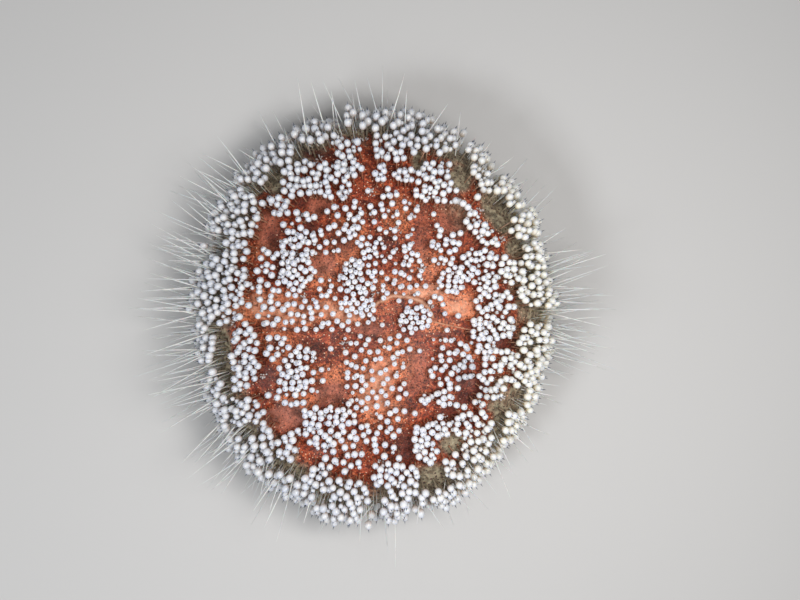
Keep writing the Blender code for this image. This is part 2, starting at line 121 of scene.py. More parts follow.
body_middle = Vector((0.0, 0.0, AMBITUS_HEIGHT))
for name, place, size, watts, colour in LAMPS:
    lamp_data = bpy.data.lights.new(name, "AREA")
    lamp_data.size = size
    lamp_data.energy = watts
    lamp_data.color = colour
    lamp = bpy.data.objects.new(name, lamp_data)
    bpy.context.scene.collection.objects.link(lamp)
    lamp.location = place
    lamp.rotation_euler = (Vector(place) - body_middle).to_track_quat("Z", "Y").to_euler()
    print(name, "of", watts, "W at", place)

world = bpy.data.worlds.new("studio")
world.use_nodes = True
backdrop = world.node_tree.nodes["Background"]
backdrop.inputs["Color"].default_value = WORLD_COLOUR
backdrop.inputs["Strength"].default_value = WORLD_STRENGTH
bpy.context.scene.world = world
bpy.context.scene.view_settings.view_transform = "Standard"

# %% [markdown]
# ## The plan of the body
#
# An urchin is built on five rays. Five narrow fields, the ambulacra, carry the tube feet, and five wide
# ones lie between them. A place on the skin is given as a surveyor would: a bearing round the axis, and a
# share of the way out to the widest line. The same few functions then place the skin, the spines and the
# colours, so that they always agree.

# %% Body plan
SKIN_HALF_WIDTH = 0.0770
SKIN_HALF_LENGTH = 0.0890
CROWN_HEIGHT = 0.0590
SOLE_HEIGHT = 0.0095
DOME_POWER = 2.3
SOLE_POWER = 3.2
LOBE_BULGE = 0.022
CORE_RADIUS = 0.0160
AMBULACRUM_BEARINGS = (30.0, 102.0, 180.0, 255.0, 325.0)
AMBULACRUM_HALF_ANGLE = 14.0

disc_low, disc_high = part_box("mouth_disc")
AXIS = Vector(((disc_low[0] + disc_high[0]) / 2, (disc_low[1] + disc_high[1]) / 2, 0.0))
print("axis at", round(AXIS.x, 4), round(AXIS.y, 4))


def heading(bearing):
    angle = math.radians(bearing)
    return Vector((math.cos(angle), math.sin(angle), 0.0))


def ellipse_distance(bearing, half_width, half_length):
    """Distance from the axis to an ellipse round the middle of the body."""
    way = heading(bearing)
    a = (way.x / half_width) ** 2 + (way.y / half_length) ** 2
    b = AXIS.x * way.x / half_width ** 2 + AXIS.y * way.y / half_length ** 2
    c = (AXIS.x / half_width) ** 2 + (AXIS.y / half_length) ** 2 - 1.0
    return (-b + math.sqrt(b * b - a * c)) / a


REACH_TABLE = [ellipse_distance(step / 2, SKIN_HALF_WIDTH, SKIN_HALF_LENGTH) for step in range(721)]


def skin_reach(bearing):
    """Distance from the axis to the ambitus, read from a table of half degrees."""
    place = (bearing % 360.0) * 2.0
    whole = int(place)
    part = place - whole
    return REACH_TABLE[whole] * (1.0 - part) + REACH_TABLE[whole + 1] * part


def list_fields():
    """First and last bearing of each field, and whether it is an ambulacrum."""
    fields = []
    for index, middle in enumerate(AMBULACRUM_BEARINGS):
        following = AMBULACRUM_BEARINGS[(index + 1) % 5]
        following += 360.0 if following < middle else 0.0
        last = middle + AMBULACRUM_HALF_ANGLE
        fields.append((middle - AMBULACRUM_HALF_ANGLE, last, True))
        fields.append((last, following - AMBULACRUM_HALF_ANGLE, False))
    return fields


FIELDS = list_fields()


def field_at(bearing):
    """Number of the field that a bearing lies in, and how far across it."""
    for index, (first, last, _) in enumerate(FIELDS):
        past = (bearing - first) % 360.0
        if past < last - first:
            return index, past / (last - first)
    return 0, 0.0


def profile_height(share, below):
    """Height of the skin at a share of the way out, on the upper or the under side."""
    pole, power = (SOLE_HEIGHT, SOLE_POWER) if below else (CROWN_HEIGHT, DOME_POWER)
    inside = min(1.0, max(0.0, share))
    return AMBITUS_HEIGHT + (pole - AMBITUS_HEIGHT) * (1.0 - inside ** power) ** (1.0 / power)


def skin_point(bearing, share, below=False):
    """A point of the smooth skin."""
    across = field_at(bearing)[1]
    reach = skin_reach(bearing)
    core_share = CORE_RADIUS / reach
    beyond = min(1.0, max(0.0, (share - core_share) / (1.0 - core_share)))
    swell = 1.0 + LOBE_BULGE * math.sin(math.pi * across) * beyond
    point = AXIS + heading(bearing) * share * reach * swell
    point.z = profile_height(share, below)
    return point


def skin_normal(bearing, share, below=False):
    """The way out from the smooth skin, from two short steps along it."""
    step = 0.01
    outer = skin_point(bearing, min(1.0, share + step), below)
    inner = skin_point(bearing, max(0.001, share - step), below)
    beside = skin_point(bearing + 1.0, share, below) - skin_point(bearing - 1.0, share, below)
    normal = (outer - inner).cross(beside).normalized()
    return -normal if below else normal


print("reach of the skin", [round(skin_reach(bearing), 4) for bearing in (0, 90, 180, 270)])

# %% [markdown]
# ## Unwrapping the skin
#
# Each spine later gets a tiny patch of a texture map at its own root. The map is an unwrap of the skin:
# the upper side is laid out as one disc and the under side as another, with distances from the pole
# measured along the curved skin, so that the steep rim keeps its full area.

# %% Unwrap
UV_DISC_RADIUS = 0.275
UV_UPPER_MIDDLE = (0.285, 0.715)
UV_LOWER_MIDDLE = (0.715, 0.285)
ARC_STEPS = 400
MEAN_REACH = 0.083


def arc_table(below):
    """Length along the skin from the pole to each share, as a fraction of the whole."""
    lengths = [0.0]
    for step in range(1, ARC_STEPS + 1):
        rise = profile_height(step / ARC_STEPS, below) - profile_height((step - 1) / ARC_STEPS, below)
        lengths.append(lengths[-1] + math.hypot(MEAN_REACH / ARC_STEPS, rise))
    return [length / lengths[-1] for length in lengths]


ARC_UPPER = arc_table(False)
ARC_LOWER = arc_table(True)


def skin_uv(bearing, share, below=False):
    """The place of a point of the skin on the texture map."""
    place = min(0.99999, max(0.0, share)) * ARC_STEPS
    table = ARC_LOWER if below else ARC_UPPER
    whole = int(place)
    arc = table[whole] + (table[whole + 1] - table[whole]) * (place - whole)
    middle = UV_LOWER_MIDDLE if below else UV_UPPER_MIDDLE
    way = heading(bearing)
    return middle[0] + way.x * arc * UV_DISC_RADIUS, middle[1] + way.y * arc * UV_DISC_RADIUS


print("half way out lies", round(ARC_UPPER[ARC_STEPS // 2], 2), "of the way along the upper skin and",
      round(ARC_LOWER[ARC_STEPS // 2], 2), "along the lower")

# %% [markdown]
# ## The skin
#
# The living skin is a sheet of thin plates that slide over each other, which is why this urchin is soft.
# The skin starts as a subdivided cube pushed out to a ball, because that has no poles, so its faces stay
# even all over. Each point of the ball is then moved to the place that the body plan gives for its
# bearing and height. Soft folds, grains and a shallow groove between fields are laid on top of that.

# %% Skin shape
SKIN_CUTS = 100
GRAIN_SCALE = 700.0
GRAIN_HEIGHT = 0.00010
FOLD_SCALE = 70.0
FOLD_HEIGHT = 0.0010
GROOVE_DEPTH = 0.0004
GROOVE_WIDTH = 0.06
SKIN_INSET = 0.0004
MOUTH_HOLLOW_DEPTH = 0.0022
MOUTH_HOLLOW_RADIUS = 0.0062
STEEP_SHARE = 0.985

bpy.ops.object.select_all(action="DESELECT")
bpy.ops.mesh.primitive_cube_add(size=2.0, location=(0.0, 0.0, 0.0))
skin = bpy.context.object
skin.name = "skin"
bpy.ops.object.mode_set(mode="EDIT")
bpy.ops.mesh.select_all(action="SELECT")
bpy.ops.mesh.subdivide(number_cuts=SKIN_CUTS)
bpy.ops.object.mode_set(mode="OBJECT")
print("skin faces", len(skin.data.polygons))


def ball_to_plan(place):
    """Bearing, share and side of a point of the unit ball."""
    x, y, z = place
    low = math.hypot(x, y)
    power = SOLE_POWER if z < 0.0 else DOME_POWER
    share = low ** (2.0 / power) if low > 0.0 else 0.0
    return math.degrees(math.atan2(y, x)), min(1.0, share), z < 0.0


def relief(place, bearing, share, below):
    """How far the skin stands off its smooth form: grains, soft folds and grooves between fields."""
    grain = noise.noise(place * GRAIN_SCALE) * GRAIN_HEIGHT
    fold = noise.fractal(place * FOLD_SCALE, 1.0, 2.0, 3) * FOLD_HEIGHT * min(1.0, share * 1.5)
    across = field_at(bearing)[1]
    from_edge = min(across, 1.0 - across)
    groove = GROOVE_DEPTH * math.exp(-(from_edge / GROOVE_WIDTH) ** 2) * min(1.0, share * 2.0)
    distance = share * skin_reach(bearing)
    mouth = MOUTH_HOLLOW_DEPTH * max(0.0, 1.0 - (distance / MOUTH_HOLLOW_RADIUS) ** 2) if below else 0.0
    return grain + fold - groove - mouth - SKIN_INSET


def on_skin(bearing, share, below=False):
    """A point of the skin with its folds, and the way out from it, level where the skin is steep."""
    normal = heading(bearing) if share > STEEP_SHARE else skin_normal(bearing, share, below)
    point = skin_point(bearing, share, below)
    return point + normal * relief(point, bearing, share, below), normal


coordinates = np.empty(len(skin.data.vertices) * 3)
skin.data.vertices.foreach_get("co", coordinates)
# even angles on the cube's faces keep the faces even on the ball
coordinates = np.tan(coordinates.reshape(-1, 3) * math.pi / 4.0)
coordinates /= np.linalg.norm(coordinates, axis=1)[:, None]
plans = [ball_to_plan(row) for row in coordinates]
moved = np.array([on_skin(*plan)[0] for plan in plans])
skin.data.vertices.foreach_set("co", moved.ravel())
skin.data.update()
skin.data.shade_smooth()
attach(skin, "root")
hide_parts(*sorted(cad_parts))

# %% [markdown]
# ## Where things are seen
#
# The photograph shows which parts are crowded, which are bare and which glow orange. Those places are
# noted as ovals, in millimetres right of and above the middle of the disc as the camera sees it: middle,
# half length, half width and turn. The same ovals guide the colours of the skin and the spines on it.

# %% Patches
CROWDED_CLUMPS = (
    (-32.4, 88.3, 12.2, 4.9, 8), (0, 94.6, 8.1, 5.7, 0), (-12.1, 95.6, 1.7, 3.5, 0),
    (-47.1, 77.5, 8.3, 5.2, -15), (-59.6, 69, 9.7, 5.2, -10), (-58.9, 77.5, 3.5, 2.4, 0),
    (-14, 81.8, 6.6, 2.8, -10), (-14.4, 76.5, 3.5, 1.7, 0), (-30.7, 64.1, 12.5, 9.7, -12),
    (-13.9, 70.2, 6.1, 4.3, 10), (-14.7, 61.8, 2.8, 4.5, 0), (-45.8, 54.9, 3.5, 4.2, 30),
    (-64.2, 47.7, 9.7, 10.4, 20), (-66, 31.3, 5.4, 6.9, 0), (-37.3, 28, 9.7, 13.2, 0),
    (-10.1, 42.8, 4.5, 5.2, 0), (-3.9, 32.6, 4.1, 6.3, 0), (-8.2, 16.9, 8.7, 9, 0),
    (-8.2, 4.2, 8.7, 4.4, 0), (-38.1, 12.6, 4.7, 3.1, 15), (-75.3, 12.7, 13.9, 13.5, 0),
    (-77, 48.4, 5.9, 9, 0), (18, 94.9, 8.7, 4.9, -5), (20, 83.4, 17, 5.9, 3), (2, 79.8, 2.1, 3.5, 0),
    (9.2, 75.9, 5.6, 2.1, 0), (14.1, 67.4, 5.2, 3.5, 0), (2.5, 68, 2.6, 3.5, 0),
    (28.5, 63.1, 10.1, 9.4, -35), (47.9, 44.8, 16.4, 3.9, -47), (51.8, 64.7, 9.2, 3.3, -40),
    (49.5, 78, 5.2, 3.6, -25), (66.2, 58.2, 8.8, 3.6, -60), (71.5, 42.6, 6.3, 7.1, -45),
    (75.7, 29.5, 5.9, 4.3, -30), (74.9, 16.6, 6.4, 9.4, 0), (81.3, 7.1, 7.6, 4.2, 0),
    (33.6, 33, 7.1, 3.1, 0), (33.3, 26.1, 6.4, 1.7, 0), (40.2, 19.8, 7.8, 4.5, 10),
    (35.4, 14.3, 6.9, 3.5, 0), (51.8, 26.4, 9, 4.5, -5), (53.1, 15.9, 6.3, 5.2, 0),
    (64.2, 20.2, 5.6, 6.3, 0), (56.4, 5.2, 9.7, 5.5, 0), (15.6, 28, 2.6, 5.6, 0), (19.6, -1.4, 8.1, 6.2, 0),
    (7.9, 58.8, 4.2, 2.1, -30), (-80.9, -12.5, 3.8, 11.8, 0), (-77, -32.9, 3.5, 8.2, 0),
    (-62, -22, 6.4, 15.6, 0), (-64.8, -45.9, 11.1, 6.9, -10), (-72, -53.4, 2.1, 2.4, 0),
    (-68.4, -61.6, 3.5, 4.2, 0), (-60.9, -65.2, 4.5, 5.9, 0), (-51.1, -61.1, 3.5, 8.2, 0),
    (-42.7, -62.4, 4.7, 6.8, 0), (-48.1, -81.8, 7.6, 6.4, 0), (-34.5, -83.1, 4.7, 6.4, 0),
    (-56.1, -73.7, 3.6, 5.2, 0), (-27, -77, 5.4, 6.3, 0), (-12.1, -86.5, 9.7, 6.9, 0),
    (-17.6, -95.4, 11.5, 4.2, 0), (-34.3, -18.5, 4.9, 4, 0), (-39.1, -29.2, 7.5, 6.6, 0),
    (-24.5, -53.4, 11.1, 9.7, 0), (-14.4, -49.2, 4.9, 3.5, 0), (55.7, -6.6, 10.4, 6.9, 0),
    (54.6, -16.7, 5.4, 3.8, 0), (55.2, -30.2, 5.7, 11.1, 0), (63.3, -21.8, 5.6, 4.7, 0),
    (77.4, -19.2, 8, 14.4, 0), (67.2, -29.5, 4.9, 3.5, 0), (76.4, -41.3, 4.9, 7.6, 0),
    (67.5, -51.5, 5.9, 6.6, 45), (60.3, -66.2, 9.2, 3.3, 55), (52.6, -75.5, 2.3, 1.9, 0),
    (49.5, -57, 6.6, 9, 0), (45.4, -68.5, 7.5, 5.9, 0), (35.2, -53.4, 6.1, 5.2, 0),
    (24.4, -62.6, 7.1, 8, 0), (26.5, -52.4, 2.4, 2.1, 0), (37.4, -74.6, 3.8, 5.4, 0),
    (11.3, -78.3, 12, 7.3, 0), (9.3, -91.4, 7.1, 5.9, 0), (21.8, -86.4, 3.6, 3.6, 0),
    (34.3, -87.2, 8.2, 4.5, 10), (44.2, -80.3, 5.2, 5.2, 30), (33.4, -37.5, 3.8, 7.5, 0),
    (24.6, -40, 3.1, 2.1, 0),
)
SMALL_CLUMPS = ((-15, 58.5, 3, 3.5, 0),)
GREY_CLUMPS = ((42.9, -26.5, 5.6, 6.6, 0), (50.8, -37, 5.2, 5.9, 0), (38.7, 52.6, 1.9, 3.8, 0))
LOOSE_FIELDS = (
    (-39.3, 46.7, 10.4, 3.8, 0), (-21.2, 36.9, 6.6, 7.3, 0), (-11.1, 50.3, 11.8, 4.2, 0),
    (-20.9, 9.1, 6.9, 9.7, 0), (-50.4, 15.7, 6.9, 16.6, 0), (-35.7, 4.5, 8.7, 4.8, 0),
    (5.9, 45.1, 6.3, 12.5, 0), (17, 50, 4.2, 5.2, 0), (17.4, 37.9, 4.5, 3.5, 0),
    (11.1, 19.5, 11.8, 14.6, 0), (30.2, 6.7, 4.2, 2.4, 0), (35.1, 40.8, 5.9, 4.5, 0),
    (-47.1, -16.4, 6.3, 7.6, 0), (-27.1, -31.5, 4.5, 6.3, 0), (-39.3, -38.3, 7.6, 4.5, 0),
    (-9.5, -56.7, 10, 5.9, 0), (-14.7, -69.2, 9.4, 5.9, 0), (-7.2, -27.9, 7.6, 19.1, 0),
    (-25.9, -3.6, 27.4, 3.8, 0), (9.2, -18, 9.7, 8.7, 0), (7.2, -39.3, 7.6, 13.9, 0),
    (31.1, -24.3, 5.9, 6.3, 0), (38, -15.4, 9.7, 5.2, 0), (41.3, -41.3, 4.9, 9, 0),
    (6.6, -61.6, 6.9, 9.7, 0),
)
PINK_PATCHES = (
    (-26.3, 52.6, 6.2, 5.7, 0), (-24.9, 24.9, 6.7, 6.2, 0), (22.9, 39.2, 3.8, 16.3, 0),
    (20.6, -27.2, 5.7, 12.9, 0), (-42.5, -48.8, 10.5, 6.2, 0), (-21.5, -37.8, 7.6, 6.7, 0),
    (-51.1, 39.7, 6.2, 10.5, 0),
)
BROWN_PATCHES = (
    (-3, -6.6, 7.4, 3.6, 0), (-47.8, 65.5, 4.3, 7.6, 0), (37.3, 46.4, 8.6, 8.1, 0), (21, 73.1, 3.8, 4.8, 0),
    (41.1, 65.5, 5.7, 6.7, 0), (58.8, 48.8, 11.9, 5.7, -60), (67.4, 32.5, 4.8, 6.2, 0),
    (-60.7, -55.4, 6.7, 3.8, 0), (-45.9, -72.7, 9.1, 3.8, 0), (-73.1, -19.1, 4.3, 14.8, 0),
    (36.8, -61.2, 6.2, 5.7, 0), (27.7, -78.4, 8.6, 7.2, 0), (59.8, -49.2, 3.8, 8.6, 0),
    (57.8, -62.6, 4.3, 4.8, 0),
)
# maroon skin, partly painted shade: the first patch is painted where the skin lies in shade
MAROON_AND_SHADE_PATCHES = (
    (-26.8, 76.5, 7.6, 2.9, 0), (-53.1, -29.2, 4.3, 7.2, 0), (-27.5, -15.8, 3.5, 3.5, 0),
    (34.9, -46.8, 4.8, 4.3, 0), (15.3, -63.1, 4.8, 7.6, 0), (62.6, -13.9, 6.2, 3.8, 0),
    (-30.6, 42.5, 3.8, 2.9, 0), (45.4, -35.9, 6.7, 7.6, 0), (-35.9, 55, 4.8, 3.8, 0),
)
PEACH_PATCHES = (
    (-47, 2.5, 20, 7.5, -2), (-18, 1.5, 16, 5, 0), (2, -34, 8, 14, -10), (24, 11, 11, 3.5, 5),
    (40, 3, 8, 4, 0),
)
TAN_PATCHES = (
    (76, 14, 11.5, 22, 0), (64, -50, 7, 20, 14), (52, -68, 9, 9, 0), (-66, -66, 18, 9, -40),
    (72, -14, 5, 8, 0), (62, 52, 7, 14, 35),
)
# dark lines along folds, partly darker skin and partly painted shade in the creases
SEAM_AND_SHADE_PATCHES = (
    (22.5, 6.4, 4.5, 1.5, -25), (-15, 33, 5, 5, 0), (-48, 38, 4, 3, 0), (-46, 26, 3, 4, 0),
    (-40, -24, 3.5, 4.5, 0), (-48, -14, 3, 3, 0), (-42, -6.8, 27, 0.9, -2), (-8, -9, 13, 0.9, -8),
    (34, -9, 22, 0.8, 2),
)
GLOWING_PATCHES = (
    (-38.2, 1.4, 29.6, 6.2, 0), (-25.3, 18.2, 8.6, 10.5, 0), (-12.9, 33.5, 10.5, 14.3, 0),
    (26.3, 23.9, 10.5, 8.6, 0), (32, 9.1, 17.2, 5.7, 0), (29.2, -4.8, 10.5, 3.8, 0),
    (-21.5, -28.7, 12.4, 5.7, 0), (-44, -11.9, 10.5, 11.5, 0), (-3.3, -33.5, 9.6, 14.3, 0),
    (9.6, -21.5, 9.6, 12.4, 0), (4.8, -46.4, 11.9, 9.6, 0), (-35.9, -40.6, 11.5, 4.8, 0),
    (-14.3, -59.8, 10.5, 4.8, 0), (11.9, 47.8, 7.6, 9.9, 0), (-54, 31.1, 4.8, 4.8, 0),
    (50.2, -16.7, 10.5, 4.8, 0), (7.2, 14.3, 12.4, 6.7, 0),
)
OVAL_POWER = 2.4


def seen_places(points):
    """Where points are seen, in millimetres right of and above the middle of the disc."""
    rays = np.asarray(points) - np.array(camera.location)
    nearness = -CAMERA_DISTANCE / (rays @ np.array(sight))
    across = rays @ np.array(right) * nearness + aim.x
    along = rays @ np.array(upward) * nearness + aim.y
    return np.stack([across, along], axis=1) * 1000.0


def depth_in(patches, places):
    """For each place, how far out it lies in its nearest oval: 0 in the middle, 1 on the edge."""
    least = np.full(len(places), 9.0)
    for x, y, half_length, half_width, turn in patches:
        angle = math.radians(turn)
        offset = places - (x, y)
        along = offset[:, 0] * math.cos(angle) + offset[:, 1] * math.sin(angle)
        aside = offset[:, 1] * math.cos(angle) - offset[:, 0] * math.sin(angle)
        out = np.abs(along / half_length) ** OVAL_POWER + np.abs(aside / half_width) ** OVAL_POWER
        least = np.minimum(least, out ** (1.0 / OVAL_POWER))
    return least


print("crowded clumps", len(CROWDED_CLUMPS), "and loose fields", len(LOOSE_FIELDS))

# %% [markdown]
# ## Zones of colour
#
# The zones are soft-edged, so they are stored as an attribute on the points of the skin: red for the
# orange and peach glow, green for the tan flank, blue for bare brown or pinkish skin, alpha for maroon
# skin and the dark seams between fields. The alpha is partly painted shade: one maroon patch is painted
# where the skin lies in shade, and the seams darken the creases of folds. Noise makes their edges
# ragged. The under side is plain red in its middle and turns tan towards the rim.

# %% Zones
FLANK_START = 0.86
FLANK_FULL = 0.95
SOLE_START = 0.80
SOLE_FULL = 0.93
SOLE_BARE = 0.6
SOLE_GLOW = 0.1
SOLE_DARK = 0.25
RAGGED_SCALE = 150.0


def soft_steps(low, high, values):
    """Rise smoothly from 0 to 1 between two values."""
    part = np.clip((values - low) / (high - low), 0.0, 1.0)
    return part * part * (3.0 - 2.0 * part)


ragged = np.array([noise.fractal(Vector(row) * RAGGED_SCALE, 1.0, 2.0, 3) for row in moved])
shares = np.array([plan[1] for plan in plans])
under = np.array([plan[2] for plan in plans])
skin_seen = seen_places(moved)


def zone(patches, full, none, raggedness):
    """1 in the ovals and 0 far from them, with a soft and ragged edge between."""
    return 1.0 - soft_steps(full, none, depth_in(patches, skin_seen) + raggedness * ragged)


orange = zone(GLOWING_PATCHES, 0.45, 1.35, 0.30)
peach = zone(PEACH_PATCHES, 0.00, 1.55, 0.45)
glow = 0.6 * np.maximum(orange, np.minimum(1.0, 3.0 * peach)) + 0.4 * peach
# the pink patches are weaker right of the middle
pink = zone(PINK_PATCHES, 0.70, 1.25, 0.25) * (1.0 - 0.35 * soft_steps(10.0, 20.0, skin_seen[:, 0]))
brown = zone(BROWN_PATCHES, 0.70, 1.25, 0.25)
# maroon skin and dark seams, partly painted shade
maroon_and_shade = np.maximum(zone(MAROON_AND_SHADE_PATCHES, 0.65, 1.30, 0.30), 0.8 * zone(SEAM_AND_SHADE_PATCHES, 0.55, 1.60, 0.20))
flank = soft_steps(FLANK_START, FLANK_FULL, shares + 0.06 * ragged)
flank = np.maximum(flank, brown * soft_steps(0.55, 0.80, shares))
flank = np.maximum(flank, 0.9 * zone(TAN_PATCHES, 0.75, 1.20, 0.35))
sole = soft_steps(SOLE_START, SOLE_FULL, shares + 0.06 * ragged)
glow = np.where(under, SOLE_GLOW, glow)
flank = np.where(under, sole, flank)
bare = np.where(under, SOLE_BARE * (1.0 - sole), np.maximum(pink, brown * 0.9))
maroon_and_shade = np.where(under, SOLE_DARK, maroon_and_shade)
zone_layer = skin.data.color_attributes.new("zones", "FLOAT_COLOR", "POINT")
zone_layer.data.foreach_set("color", np.stack([glow, flank, bare, maroon_and_shade], axis=1).ravel())
print("share of skin in the flank zone", round(float((flank > 0.5).mean()), 2))

# %% [markdown]
# ## The skin's finish
#
# A node material turns the zones into colour. Noise breaks each colour up at three sizes, as patches,
# blotches and fine mottle, with painted grains and dots on top, and a bump of fine noise gives it a moist,
# leathery grain. Everything reads Object coordinates, in metres, so a noise scale of 400 means spots about
# two and a half millimetres across.

# %% Helper for node materials
class Painter:
    """Builds a node material step by step."""

    def __init__(self, name):
        self.material = bpy.data.materials.new(name)
        self.material.use_nodes = True
        self.tree = self.material.node_tree
        self.shader = self.tree.nodes["Principled BSDF"]
        self.place = self.node("TexCoord").outputs["Object"]

    def put(self, value, socket):
        """Give a socket a number, a colour or what another node makes."""
        if isinstance(value, float):
            socket.default_value = value
        elif isinstance(value, tuple):
            socket.default_value = (*value, 1.0)[:len(socket.default_value)]
        else:
            self.tree.links.new(value, socket)

    def node(self, kind, **values):
        """A new node with some of its inputs filled in."""
        node = self.tree.nodes.new("ShaderNode" + kind)
        for name, value in values.items():
            self.put(value, node.inputs[name.replace("_", " ")])
        return node

    def attribute(self, name):
        """Four numbers from an attribute: red, green, blue and alpha."""
        node = self.node("Attribute")
        node.attribute_name = name
        return (*self.node("SeparateColor", Color=node.outputs["Color"]).outputs[:3], node.outputs["Alpha"])

    def noise(self, scale, detail=3.0, roughness=0.55):
        node = self.node("TexNoise", Vector=self.place, Scale=scale, Detail=detail, Roughness=roughness)
        return node.outputs["Fac"]

    def cells(self, scale, shift=0.0):
        """Distance to the nearest of many scattered points."""
        moved = self.node("VectorMath")
        self.put(self.place, moved.inputs[0])
        self.put((shift, shift, shift), moved.inputs[1])
        return self.node("TexVoronoi", Vector=moved.outputs[0], Scale=scale).outputs["Distance"]

    def stretch(self, value, low, high, to_low=0.0, to_high=1.0):
        """Map a range of values smoothly onto another."""
        node = self.node("MapRange", Value=value, From_Min=low, From_Max=high, To_Min=to_low, To_Max=to_high)
        node.interpolation_type = "SMOOTHSTEP"
        return node.outputs["Result"]

    def maths(self, operation, first, second=0.0):
        node = self.node("Math")
        node.operation = operation
        self.put(first, node.inputs[0])
        self.put(second, node.inputs[1])
        return node.outputs[0]

    def times(self, first, second):
        return self.maths("MULTIPLY", first, second)

    def mix(self, amount, first, second, blend="MIX"):
        """Blend two colours, each a socket or three numbers."""
        node = self.node("Mix")
        node.data_type = "RGBA"
        node.blend_type = blend
        for number, value in ((0, amount), (6, first), (7, second)):
            self.put(value, node.inputs[number])
        return node.outputs[2]

    def shade(self, colour, factor):
        """The same colour made lighter or darker."""
        return self.mix(1.0, colour, (factor, factor, factor), "MULTIPLY")

    def bump(self, height, distance, strength):
        node = self.node("Bump", Height=height, Distance=distance, Strength=strength)
        self.put(node.outputs["Normal"], self.shader.inputs["Normal"])

    def finish(self, colour, **values):
        """Give the shader its colour and its other values, and hand over the material."""
        self.put(colour, self.shader.inputs["Base Color"])
        for name, value in values.items():
            self.put(value, self.shader.inputs[name.replace("_", " ")])
        print("material", self.material.name, "with", len(self.tree.nodes), "nodes")
        return self.material


# %% Skin material
BRICK = (0.350, 0.056, 0.020)
BRICK_DEEP = (0.095, 0.013, 0.008)
RUST = (0.525, 0.106, 0.040)
ORANGE = (0.680, 0.192, 0.078)
PEACH = (0.860, 0.430, 0.270)
BARE_PINK = (0.400, 0.125, 0.076)
BARE_BROWN = (0.170, 0.048, 0.025)
MAROON = (0.095, 0.016, 0.010)
TAN = (0.370, 0.330, 0.225)
OLIVE = (0.125, 0.110, 0.074)
SPECK = (0.040, 0.012, 0.008)
GRAIN = (0.780, 0.420, 0.260)


def skin_material():
    painter = Painter("living_skin")
    glow, flank, bare, dark = painter.attribute("zones")
    broad = painter.noise(150.0, 4.0)
    middling = painter.noise(420.0)
    fine = painter.noise(1400.0)
    # brick red in patches, with rust, and orange where the skin glows
    colour = painter.mix(painter.stretch(broad, 0.34, 0.52), BRICK_DEEP, BRICK)
    colour = painter.mix(painter.stretch(middling, 0.48, 0.68, 0.0, 0.9), colour, RUST)
    patchy = painter.stretch(broad, 0.36, 0.52, 0.45, 1.0)
    colour = painter.mix(painter.times(painter.stretch(glow, 0.05, 0.55), patchy), colour, ORANGE)
    # dark and orange blotches, and peach on the brightest fields
    blotch = painter.noise(620.0, 2.0)
    colour = painter.mix(painter.stretch(blotch, 0.50, 0.37, 0.0, 0.72), colour, BRICK_DEEP)
    colour = painter.mix(painter.stretch(blotch, 0.53, 0.65, 0.0, 0.55), colour, ORANGE)
    uneven = painter.stretch(middling, 0.30, 0.60, 0.25, 1.0)
    colour = painter.mix(painter.times(painter.stretch(glow, 0.50, 1.15), uneven), colour, PEACH)
    # smooth bare skin, the sandy flank, and maroon skin with dark seams, partly painted shade
    smooth = painter.mix(painter.stretch(broad, 0.42, 0.60), BARE_BROWN, BARE_PINK)
    colour = painter.mix(painter.times(bare, 0.85), colour, smooth)
    sandy = painter.mix(painter.stretch(middling, 0.38, 0.66), OLIVE, TAN)
    colour = painter.mix(painter.times(flank, 0.92), colour, sandy)
    colour = painter.mix(painter.times(dark, 0.80), colour, MAROON)
    # mottle, grains and dots, weaker on glowing, sandy and bare skin
    peppery = painter.stretch(painter.maths("MAXIMUM", glow, flank), 0.88, 0.55, 0.15, 1.0)
    peppery = painter.times(peppery, painter.stretch(bare, 1.0, 0.3, 0.45, 1.0))
    mottle = painter.stretch(painter.noise(1000.0, 4.0, 0.75), 0.38, 0.62)
    shadow = painter.times(painter.stretch(mottle, 0.45, 0.0, 0.0, 0.80), peppery)
    colour = painter.mix(shadow, colour, painter.shade(colour, 0.28))
    colour = painter.mix(painter.stretch(mottle, 0.55, 1.0, 0.0, 0.50), colour, painter.shade(colour, 1.65))
    grains = painter.stretch(painter.cells(1300.0, 7.0), 0.26, 0.14, 0.0, 0.32)
    colour = painter.mix(grains, colour, GRAIN)
    dots = painter.stretch(painter.cells(980.0), 0.34, 0.20, 0.0, 0.80)
    colour = painter.mix(painter.times(dots, peppery), colour, SPECK)
    painter.bump(painter.maths("ADD", painter.times(middling, 0.7), fine), 0.0004, 0.6)
    roughness = painter.stretch(fine, 0.2, 0.8, 0.42, 0.62)
    return painter.finish(colour, Roughness=roughness, Subsurface_Weight=0.06, Subsurface_Scale=0.0010,
                          Coat_Weight=0.03, Coat_Roughness=0.3, Specular_IOR_Level=0.35)


skin.data.materials.append(skin_material())

# %% [markdown]
# ## Planting many small things
#
# Thousands of spines can't be set by hand. Each kind is modelled once as a small template that
# stands on the origin and points up. The template is then copied to every root, turned, stretched and
# bent, and all copies are joined into one mesh. Each copy carries a tint, so that no two look the same,
# and its own small patch of the texture map.

# %% Planting
UV_PATCH_RADIUS = 0.0015
DRAW_SEED = 21
TWIST_RANGE = 6.28
NO_BEND = (0.0, 0.0, 0.0)

draw = random.Random(DRAW_SEED)


def take_template(piece):
    """Read a template's points and faces, then remove it. Its height runs from 0 to 1."""
    points = np.array([vertex.co[:] for vertex in piece.data.vertices])
    # sorted, because a new ball lists its faces in another order from run to run
    faces = sorted(tuple(polygon.vertices) for polygon in piece.data.polygons)
    mesh = piece.data
    bpy.data.objects.remove(piece)
    bpy.data.meshes.remove(mesh)
    print("template with", len(points), "points and", len(faces), "faces")
    return points, faces


def stand(base, way, width, length, uv, dark=0.0, bend=NO_BEND, dice=draw):
    """What one copy needs: how it stands on its root, with a random twist and tint."""
    return base, way, width, length, bend, dice.uniform(0.0, TWIST_RANGE), uv, (dice.random(), dark, 1.0)


